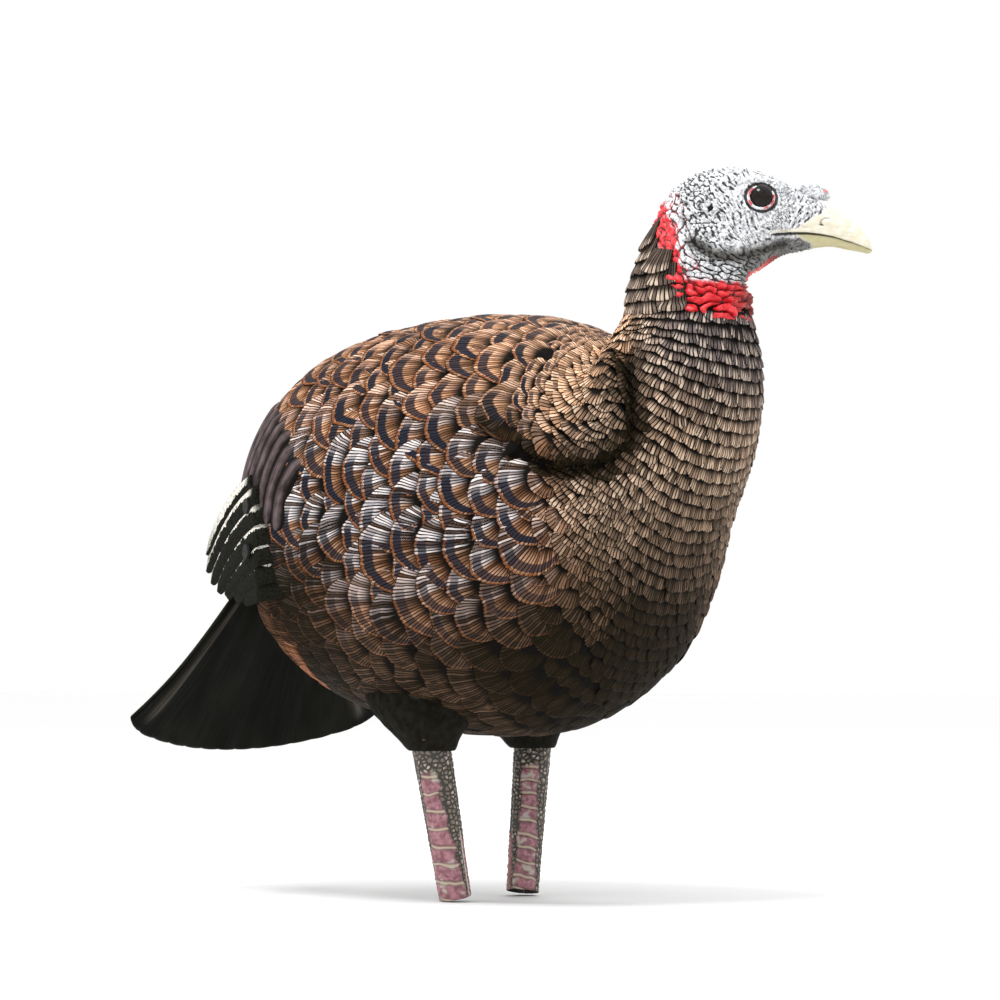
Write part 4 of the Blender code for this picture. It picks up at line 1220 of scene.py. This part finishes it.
def nape_paint(skin, t, a):
    """Tint and masks of the nape feathers.  Dark is -1 in the top row, which has no row above to shade it."""
    tint = (TAN * 0.6 + GREY * 0.4) * RNG.normal(1, 0.16, len(t))[:, None]
    top_row = skin_depth(skin, t, a)[0] > -8.5
    return tint, stacked(0 * t, np.where(top_row, -1.0, 0.1), 0.0)


def build_nape_feathers(skin, material):
    """The rows on the back of the head shell, which turn with it."""
    def keep(t, a):
        depth, z = skin_depth(skin, t, a)
        return depth < -1.5 - 2.8 * smooth(z, 350, 362)
    t, a, pitch = collect_rows(skin, start=5.2, stop=-0.02, pitch=7.0, spacing=10.5, reference=(0.0, 0.25),
                               wander=0.15, least=3.2, keep=keep)
    spots = spots_on(skin, t, a, pitch, (10.0, 16.0, 16.5), ragged=0.05, paint=nape_paint)
    spots = with_lift(spots, SMALL)
    spots["sink"] = spots["sink"] + 1.0 + 2.4 * smooth(skin_depth(skin, t, a)[0], -7.0, 0.0)
    lay_feathers("nape_feathers", skin, ordered(spots), SMALL, material, "head", head_to_world)


# ---------------------------------------------------------------- body

SKIN_SINK = 2.7


def build_body_core(skin, material):
    """The foam under the feathers, closed at the neck seam."""
    t = np.linspace(-0.47, 13.0, 150)[:, None]
    a = (np.arange(240) / 240)[None]
    t, a = np.broadcast_arrays(t, a)
    sink = SKIN_SINK + 1.0 * smooth(t, 12.3, 12.9)
    grid = skin.place(t, a) - skin.normal(t, a) * sink[..., None]
    grid = grid + 0.25 * noise3(grid / 2.5, 31)[..., None]
    obj = tube_object("body_core", grid[:, ::-1], {})
    finish_piece(obj, material, "decoy", "feathered_foam", "body_shell")


# The long wing feathers, counted from the rear.  Each runs from under the coverts back and down to its tip.
SECONDARY_COUNT = 9
SECONDARY_SLANT, SECONDARY_WIDTH = 7.0, 12.5


def secondary_ends(share):
    """Tip turn, tip station and length in turns of the wing feather at share (-0.33 rear to 1 front)."""
    return 0.785 - 0.042 * share, 2.55 + 1.35 * share, 0.100 - 0.055 * share


def under_secondaries(t, a):
    """True where the long wing feathers lie over the body."""
    turn = 1 - side_turn(a)
    rear, front = (secondary_ends(end)[1] - SECONDARY_SLANT * secondary_ends(end)[0] for end in (0, 1))
    share = (t - SECONDARY_SLANT * turn - rear) / (front - rear)
    tip, _, length = secondary_ends(share)
    return (share > -0.42) & (share < 1.05) & (turn > tip + 0.010) & (turn < tip + length - 0.004)


def cover_body(skin, material, name, style, stop, size, long, vary=0.05, **rows):
    """Lay one class of body feathers.  size is (least, most, width), and rows goes to collect_rows."""
    t, a, pitch = collect_rows(skin, stop=stop, **rows)
    spots = with_lift(spots_on(skin, t, a, pitch, size, droop(t, a), 0.05, long, vary=vary), style)
    if style is SMALL:
        spots["sink"] = spots["sink"] - 0.7 * smooth(t, 12.5, 12.8)
    lay_feathers(name, skin, ordered(spots), style, material, "decoy")


def build_body_feathers(skin, plumage, hackle):
    """Large feathers on flanks and back, small ones on neck and breast, and middling ones between them."""
    all_round = (0.0, 0.25, 0.5)
    cover_body(skin, plumage, "flank_feathers", LARGE, start=9.2, stop=-0.46, pitch=16.5, spacing=19.0,
               reference=all_round, wander=1.6, least=7.5, size=(19.0, 41.0, 34.0), long=2.45, vary=0.11,
               keep=lambda t, a: (t < boundary(a) - 0.55) & ~under_secondaries(t, a))
    cover_body(skin, plumage, "shoulder_feathers", MEDIUM, start=9.9, stop=7.0, pitch=9.8, spacing=12.0,
               reference=all_round, wander=0.5, least=5.5, size=(13.0, 23.0, 20.0), long=2.3,
               keep=lambda t, a: (t < boundary(a) + 0.3) & (t >= boundary(a) - 0.75))
    cover_body(skin, hackle, "neck_feathers", SMALL, start=12.86, stop=7.0, pitch=7.2, spacing=10.5,
               reference=(0.5,), wander=0.15, least=3.6, size=(9.0, 16.0, 16.5), long=2.25,
               keep=lambda t, a: t >= boundary(a) + 0.1)


def flipped(*grids):
    """The same rings run the other way round, which turns a closed blade's faces over."""
    order = np.roll(np.arange(grids[0].shape[1])[::-1], 1)
    return [grid[:, order] for grid in grids]


def build_secondaries(skin, material):
    """Long smooth wing feathers that run back and down the rear of each side, each tucked under the next."""
    s = np.linspace(0, 1, 70)
    for name, side in SIDES:
        for number in range(SECONDARY_COUNT):
            tip_turn, tip_t, length = secondary_ends((number - 2) / 6)
            left = (1 - s) * (length + 0.022)
            t = tip_t + SECONDARY_SLANT * left - 0.16 * np.sin(math.pi * s)
            a = tip_turn + left if side < 0 else 1 - (tip_turn + left)
            path, out = skin.place(t, a), skin.normal(t, a)
            taper = np.sqrt(np.clip(1 - (s - 0.86).clip(0, 1) ** 2 / 0.0200, 0.02, 1))
            dive = 6.5 * (1 - smooth(s, 0.02, 0.26))
            path = path + out * (1.0 + 0.30 * number * s - dive)[:, None]
            grid, u = blade(path, out, SECONDARY_WIDTH * taper, 1.4, 2.2, 17)
            grid = grid + out[:, None] * (u * -0.9 * side)[..., None]
            if side < 0:
                grid, u = flipped(grid, u)
            shape = stacked(u, s[:, None], (number + 0.5) / 10)
            obj = blade_object(f"{name}_secondary_{number + 1}", grid, {"shape": shape}, 60)
            finish_piece(obj, material, "decoy", "barred_feather")


def blade(path, out, width, thick, roof, columns=15):
    """Rings of a closed blade along path: top side roofed, width (n,) across, out (3,) its upper side."""
    run = unit(np.gradient(path, axis=0))
    out = np.broadcast_to(out, run.shape)
    across = unit(np.cross(run, out))
    u = np.linspace(-1, 1, columns)
    top = roof * (1 - np.abs(u) ** 1.6) + thick / 2
    low = -thick / 2 + roof * 0.5 * (1 - np.abs(u) ** 1.6)
    us = np.concatenate([u, u[::-1][1:-1]])
    hs = np.concatenate([top, low[::-1][1:-1]])
    grid = path[:, None] + across[:, None] * (us[None, :] * width[:, None] / 2)[..., None] \
        + out[:, None] * hs[None, :, None]
    return grid, np.broadcast_to(us, grid.shape[:2])


WING_TURN = math.radians(31.8)
WING_LINE_X, WING_LINE_Y = -104.0, 86.0
PRIMARIES = (
    # root, bend and tip as (back, up) in the wing's plane, then width and whiteness
    ((-26, 177), (-2, 172), (20, 173), 14.0, -0.25),
    ((-25, 187), (8, 178), (33, 173), 14.5, -0.04),
    ((-23, 197), (20, 188), (46, 173), 14.5, 0.0),
    ((-20, 207), (29, 200), (58, 175), 14.5, 0.03),
    ((-16, 218), (36, 211), (68, 180), 14.0, 0.12),
    ((-10, 228), (40, 220), (75, 187), 13.0, 0.30),
    ((-4, 236), (40, 228), (74, 197), 9.0, 0.60),
)


def build_primaries(material):
    """The barred wing tip of each side: curved blades fanned in an upright plane beside the tail."""
    for name, side in SIDES:
        back = np.array((-math.cos(WING_TURN), -side * math.sin(WING_TURN), 0.0))
        out = np.array((-math.sin(WING_TURN), side * math.cos(WING_TURN), 0.0))
        origin = np.array((WING_LINE_X, side * WING_LINE_Y, 0.0))
        for number, (root, bend, tip, wide, white) in enumerate(PRIMARIES):
            share = np.linspace(0, 1, 44)[:, None]
            root, bend, tip = (np.array(p, float) for p in (root, bend, tip))
            flat = (1 - share) ** 2 * root + 2 * share * (1 - share) * bend + share ** 2 * tip
            path = origin + back * flat[:, :1] + np.array((0, 0, 1.0)) * flat[:, 1:]
            path = path + out * (-1.6 + 0.55 * number - 13.0 * (1 - smooth(flat[:, :1], -26.0, -6.0)))
            broad = 0.85 + 0.30 * share[:, 0]
            taper = broad * np.sqrt(np.clip(1 - ((share[:, 0] - 0.72) / 0.285).clip(0, 1) ** 3, 0.02, 1))
            grid, u = blade(path, out, wide * taper, 1.1, 0.9)
            if side < 0:
                grid, u = flipped(grid, u)
            values = {"shape": stacked(-side * u, share, (number + 0.5) / 8),
                      "mask": stacked(0 * u + white, 0.0, 0.0)}
            obj = blade_object(f"{name}_primary_{number + 1}", grid, values, 60)
            replaced = (name + "_wing_tip",) if number == 0 else ()
            finish_piece(obj, material, "decoy", "barred_feather", *replaced)


TAIL_APEX = np.array((-118.0, 0.0, 236.0))
TAIL_PITCH = math.radians(66.0)
TAIL_SPREAD = math.radians(39.0)
TAIL_ROOT_R, TAIL_TIP_R, TAIL_CORNER, TAIL_CUP = 66.0, 169.0, 1.12, 8.0
TAIL_FEATHERS = 14


def rounded_edge(x):
    """1 inside, falling to 0 like a quarter circle just before x reaches 1."""
    return np.sqrt(np.clip(1 - np.clip((x - 0.985) / 0.015, 0, 1) ** 2, 0, 1))


def both_sides(over, under):
    """Rings that run across the top side and back under it."""
    return np.concatenate([over, under[:, ::-1][:, 1:-1]], 1)


def build_tail(material):
    """One moulded fan: stepped feathers on its top side, a smooth cupped underside with edge ribs."""
    s = np.linspace(-1, 1, 281)[None]
    d = np.linspace(0, 1, 90)[:, None]
    angle = s * TAIL_SPREAD * (1 - 0.07 * np.sin(np.pi * d) * s ** 2)
    corner = np.clip(np.abs(s) - 0.8, 0, None) / 0.2
    scallop = np.abs(np.sin(np.pi * s * TAIL_FEATHERS / 2)) ** 0.5
    reach = TAIL_TIP_R * (1 + (TAIL_CORNER - 1) * s ** 2 - 0.03 * corner ** 2) - 0.5 + 0.6 * scallop
    radius = TAIL_ROOT_R + d * (reach - TAIL_ROOT_R)
    plane = stacked(radius * np.cos(angle), radius * np.sin(angle), -TAIL_CUP * s ** 2 * d)
    part = np.abs(s * TAIL_FEATHERS / 2) % 1.0
    step = 1.3 * (1 - part) - 0.3
    shaft = 0.7 * hill(part, 0.45, 0.07)
    rib = hill(np.abs(s), 0.90, 0.035) * smooth(d, 0.02, 0.2) * (1 - smooth(d, 0.86, 0.97))
    soft = 0.5 * noise3(plane / np.array((60.0, 12.0, 30.0)), 41)
    rounding = rounded_edge(d) * rounded_edge(np.abs(s))
    top = (1.5 + step * smooth(d, 0.0, 0.1) + shaft * (1 - d * 0.6)) * rounding
    low = (-1.7 - 1.5 * rib + soft) * rounding
    up = np.array((0.0, 0.0, 1.0))
    grid = both_sides(plane + up * top[..., None], plane + up * low[..., None])
    x, y, z = grid[..., 0], grid[..., 1], grid[..., 2]
    cos, sin = math.cos(TAIL_PITCH), math.sin(TAIL_PITCH)
    world = TAIL_APEX + stacked(-(cos * x + sin * z), -y, -sin * x + cos * z)
    s = np.broadcast_to(s, top.shape)
    shape = stacked(both_sides(s, s), d, both_sides(0 * rib, rib))
    mask = stacked(both_sides(1 + 0 * top, 0 * top), 0.0, 0.0)
    world, shape, mask = flipped(world, shape, mask)
    obj = blade_object("tail_feathers", world, {"shape": shape, "mask": mask}, 70)
    finish_piece(obj, material, "decoy", "tail_dark", "tail_fan")


# ---------------------------------------------------------------- legs

LEG_FOOT, LEG_TOP, LEG_LIFT = (0.0, 33.0, 0.0), (-4.5, 50.0, 84.0), 2.0
SLEEVE_LENGTH, SLEEVE_FOOT_R, SLEEVE_TOP_R, SLEEVE_WALL = 91.7, 9.2, 10.9, 1.2
# The pink scutes of each leg: the way they face in degrees from +X, their pitch, their half width in
# degrees at the top and at the foot, and how high up the leg they start.
SCUTES = {"right": (-76.0, 10.2, 24.0, 64.0, 74.0), "left": (-52.0, 7.9, 24.0, 44.0, 72.0)}


def leg_to_world(side, points):
    """From a leg's own frame, z up its axis from the foot, to the shared frame."""
    foot = np.array((LEG_FOOT[0], side * LEG_FOOT[1], LEG_LIFT))
    axis = np.array((LEG_TOP[0], side * LEG_TOP[1], LEG_TOP[2] + LEG_LIFT)) - foot
    turn = Vector((0, 0, 1)).rotation_difference(Vector(axis).normalized()).to_matrix()
    return foot + points @ np.array(turn).T


def leg_relief(name, along, angle):
    """Height and paint of one leg's print: scutes, lines, pebbles, seam and stripe."""
    facing, pitch, narrow, broad, start = SCUTES[name]
    off = (np.degrees(angle) - facing + 180) % 360 - 180
    flat = stacked(np.cos(angle) * 10, np.sin(angle) * 10, along)
    wave = 3.0 * noise3(flat / 6.0, 51)
    half = narrow + (broad - narrow) * (1 - along / start)
    within = half - np.abs(off) + 4 * wave
    scute = smooth(within, -3, 3) * (1 - smooth(along + wave, start - 2, start + 2))
    phase = (along + 0.4 * wave + 0.02 * off) / pitch
    to_line = np.abs(phase - np.round(phase)) * pitch
    near, next_near = cells3(flat / 2.7, 52)
    cell = smooth(next_near - near, 0.03, 0.42)
    line = hill(to_line, 0, 0.75) * scute
    seam_off = (off - (80.0 if name == "right" else -100.0)) / 3.2
    seam = hill(seam_off, 0, 1) * (1 - smooth(along, 34, 40))
    red = between(seam_off, 1.0, 2.0, 12, 15) * (1 - smooth(along, 26 + 6 * (seam_off < 5), 36))
    height = 0.45 * scute * smooth(to_line, 0.4, 1.8) + 0.5 * (1 - scute) * cell * (1 - red) + 0.35 * seam
    height = height + 0.12 * noise3(flat / 1.2, 53) - 0.3
    border = hill(within, 0, 4.0) * (along < start)
    groove = hill(to_line, 1.1, 0.35) * scute * 0.6 + 0.5 * border * (1 - line)
    return height, stacked(scute, line, cell), stacked(seam, red, np.clip(groove, 0, 1))


def build_sleeve(name, side, material):
    """One printed leg tube, open at both ends; its inner wall has a thirteenth of the outer one's rings."""
    rows, columns = 260, 210
    along = np.linspace(0, SLEEVE_LENGTH, rows)[:, None]
    angle = (math.tau * np.arange(columns) / columns)[None]
    along, angle = np.broadcast_arrays(along, angle)
    radius = SLEEVE_FOOT_R + (SLEEVE_TOP_R - SLEEVE_FOOT_R) * along / SLEEVE_LENGTH
    height, paint_a, paint_b = leg_relief(name, along, angle)

    def wall(r):
        return stacked(r * np.cos(angle), r * np.sin(angle), along)
    inner = wall(radius - SLEEVE_WALL)
    grid = np.concatenate([inner[::-13], wall(radius + height), inner[-1:]])
    plain = 0 * paint_a[::-13] + np.array((0, 0, 0.3))
    paint_a = np.concatenate([plain, paint_a, plain[:1]])
    paint_b = np.concatenate([0 * plain, paint_b, 0 * plain[:1]])
    faces = tube_faces(len(grid), columns, False)
    last = (len(grid) - 1) * columns
    j = np.arange(columns)
    k = (j + 1) % columns
    faces.append(stacked(last + j, last + k, k, j))
    values = {"paint_a": paint_a.reshape(-1, 3), "paint_b": paint_b.reshape(-1, 3)}
    obj = make_object(name + "_leg_skin", leg_to_world(side, grid.reshape(-1, 3)), faces, values, 60)
    finish_piece(obj, material, name + "_sleeve", "leg_print", name + "_leg_sleeve")


# Rings of the thigh: height, share of the way from the leg's axis to THIGH_TOP, radius along X and along Y.
THIGH_ROWS = (
    (90.0, 0.00, 11.3, 11.3), (84.6, 0.00, 11.9, 11.9), (84.0, 0.00, 12.9, 12.9), (86.0, 0.04, 14.8, 14.4),
    (91.0, 0.12, 18.0, 16.6), (99.0, 0.30, 25.5, 21.5), (109.0, 0.60, 33.0, 24.0), (120.0, 0.90, 36.0, 24.5),
)
THIGH_TOP = (-20.0, 38.0)


def build_thigh(name, side, material):
    """The feathered stub above each leg tube, flaring up and back into the belly."""
    height, share, along_x, along_y = np.split(resample(THIGH_ROWS, 110), 4, axis=1)
    angle = (math.tau * np.arange(150) / 150)[None]
    axis = leg_to_world(side, np.concatenate([0 * height, 0 * height, height], 1))
    top = np.array((THIGH_TOP[0], side * THIGH_TOP[1], 0.0)) + np.array((0, 0, 1.0)) * axis[:, 2:]
    centre = axis + (top - axis) * share
    down = noise3(stacked(angle * 9.0, height / 7.0, 0.0), 61)
    tuft = 1 + 0.03 * down * smooth(height, 85, 92)
    ring = stacked(along_x * np.cos(angle) * tuft, along_y * np.sin(angle) * tuft, 0.0)
    grid = centre[:, None] + ring
    obj = tube_object(name + "_thigh", grid, {}, 50)
    finish_piece(obj, material, "decoy", "feathered_foam")


# ---------------------------------------------------------------- other CAD pieces, stage and camera

# Words in CAD node names that tell what a piece is made of.  Any other node is nylon.
RUBBER_WORDS = ("washer", "gasket", "vent_plug")
STEEL_WORDS = ("bolt", "head_nut", "stake", "clip", "screw")


def paint_cad_nodes():
    """Materials for the CAD pieces that show as they are."""
    nylon = plain_material("moulded_nylon", (0.012, 0.012, 0.011), 1.5, 0.55, 120.0, Specular_IOR_Level=0.1)
    rubber = plain_material("seal_rubber", (0.075, 0.048, 0.030), 1.5, 0.75, 200.0, Specular_IOR_Level=0.2)
    steel = plain_material("zinc_steel", (0.46, 0.47, 0.49), 0.8, 0.34, 160.0, 1.0)
    for name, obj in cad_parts.items():
        material = nylon
        if any(word in name for word in RUBBER_WORDS):
            material = rubber
        elif any(word in name for word in STEEL_WORDS):
            material = steel
        obj.data.materials.clear()
        obj.data.materials.append(material)


def area_light(name, place, aim, size, power):
    """A round soft light at place that points at aim."""
    data = bpy.data.lights.new(name, "AREA")
    data.shape, data.size, data.energy = "DISK", size, power
    obj = bpy.data.objects.new(name, data)
    bpy.context.scene.collection.objects.link(obj)
    obj.location = place
    obj.rotation_euler = (Vector(aim) - Vector(place)).to_track_quat("-Z", "Y").to_euler()


CAMERA_AZIMUTH = math.radians(35.0)
CAMERA_SIDE, CAMERA_BACK, CAMERA_Z, AIM_Z = 0.006, 2.0, 0.125, 0.226
CAMERA_LENS = 126.3
LIGHT_AIM = (0.0, 0.0, 0.24)
# Each light: name, place, size in metres and power in watts.
LIGHTS = (("key", (0.1, -0.8, 2.2), 0.7, 30.0), ("side", (-1.5, -0.9, 1.3), 0.7, 8.0),
          ("rim", (-0.7, 1.3, 1.9), 0.7, 12.0))
# Strength of the white world near the horizon and overhead.
WORLD_LIGHT = (1.0, 1.40)


def build_floor():
    """A plain pale floor just under the leg tubes."""
    bpy.ops.mesh.primitive_plane_add(size=40.0, location=(0, 0, -0.0005))
    floor = bpy.context.object
    floor.name = "studio_floor"
    n = paint("floor_paint")
    cloud = n.mix(n.noise(n.position(), 1.5, 2.0), (0.785, 0.785, 0.785), (0.80, 0.80, 0.80))
    floor.data.materials.append(n.surface(cloud, 0.9, Specular_IOR_Level=0.05))


def light_stage():
    """A white world, brighter overhead, and three soft lights."""
    n = Nodes(bpy.data.worlds.new("studio"))
    bpy.context.scene.world = n.owner
    up = n.split(n.position("Generated"))[2]
    background = n.tree.nodes["Background"]
    n.feed(background.inputs[0], (1.0, 1.0, 1.0))
    n.feed(background.inputs[1], n.ramp(up, 0.15, 1.0, *WORLD_LIGHT, kind="LINEAR"))
    for name, place, size, power in LIGHTS:
        area_light(name, place, LIGHT_AIM, size, power)


def place_camera():
    """The camera that matches the photo, level with the belly and to the bird's right front."""
    right = Vector((math.cos(CAMERA_AZIMUTH), math.sin(CAMERA_AZIMUTH), 0))
    back = Vector((math.sin(CAMERA_AZIMUTH), -math.cos(CAMERA_AZIMUTH), 0))
    data = bpy.data.cameras.new("camera")
    data.lens, data.sensor_width = CAMERA_LENS, 36.0
    camera = bpy.data.objects.new("camera", data)
    bpy.context.scene.collection.objects.link(camera)
    camera.location = right * CAMERA_SIDE + back * CAMERA_BACK + Vector((0, 0, CAMERA_Z))
    aim = right * CAMERA_SIDE + Vector((0, 0, AIM_Z))
    camera.rotation_euler = (aim - camera.location).to_track_quat("-Z", "Y").to_euler()
    bpy.context.scene.camera = camera
    bpy.context.scene.view_settings.view_transform = "Standard"


paint_cad_nodes()
body_skin, head_skin = make_body_skin(), make_head_skin()
plumage = feather_material("plumage", 0.57, 0.10, 0.42)
hackle = feather_material("hackle", 0.56, 0.03, 0.55)
skin_paint = skin_material()
# The core is near black: it shows only in the gaps between the feathers, where its colour stands in for
# shade.
build_body_core(body_skin, plain_material("foam_core", (0.010, 0.007, 0.005), 1.6, 0.8, 300.0, 0.0, 0.0006,
                                          Specular_IOR_Level=0.1))
build_body_feathers(body_skin, plumage, hackle)
build_secondaries(body_skin, quill_material("secondary_quill", (0.010, 0.007, 0.007), (0.130, 0.096, 0.098)))
build_primaries(barred_material())
build_tail(tail_material())
build_head_skin(head_skin, skin_paint)
build_snood(skin_paint)
build_eyes(eye_material())
build_nape_feathers(head_skin, hackle)
thigh_paint = plain_material("thigh_down", (0.0065, 0.006, 0.004), 1.8, 0.7, 240.0, 0.0, 0.0008,
                             Specular_IOR_Level=0.05)
leg_paint = leg_material()
for leg_name, leg_side in SIDES:
    build_sleeve(leg_name, leg_side, leg_paint)
    build_thigh(leg_name, leg_side, thigh_paint)
build_floor()
light_stage()
place_camera()
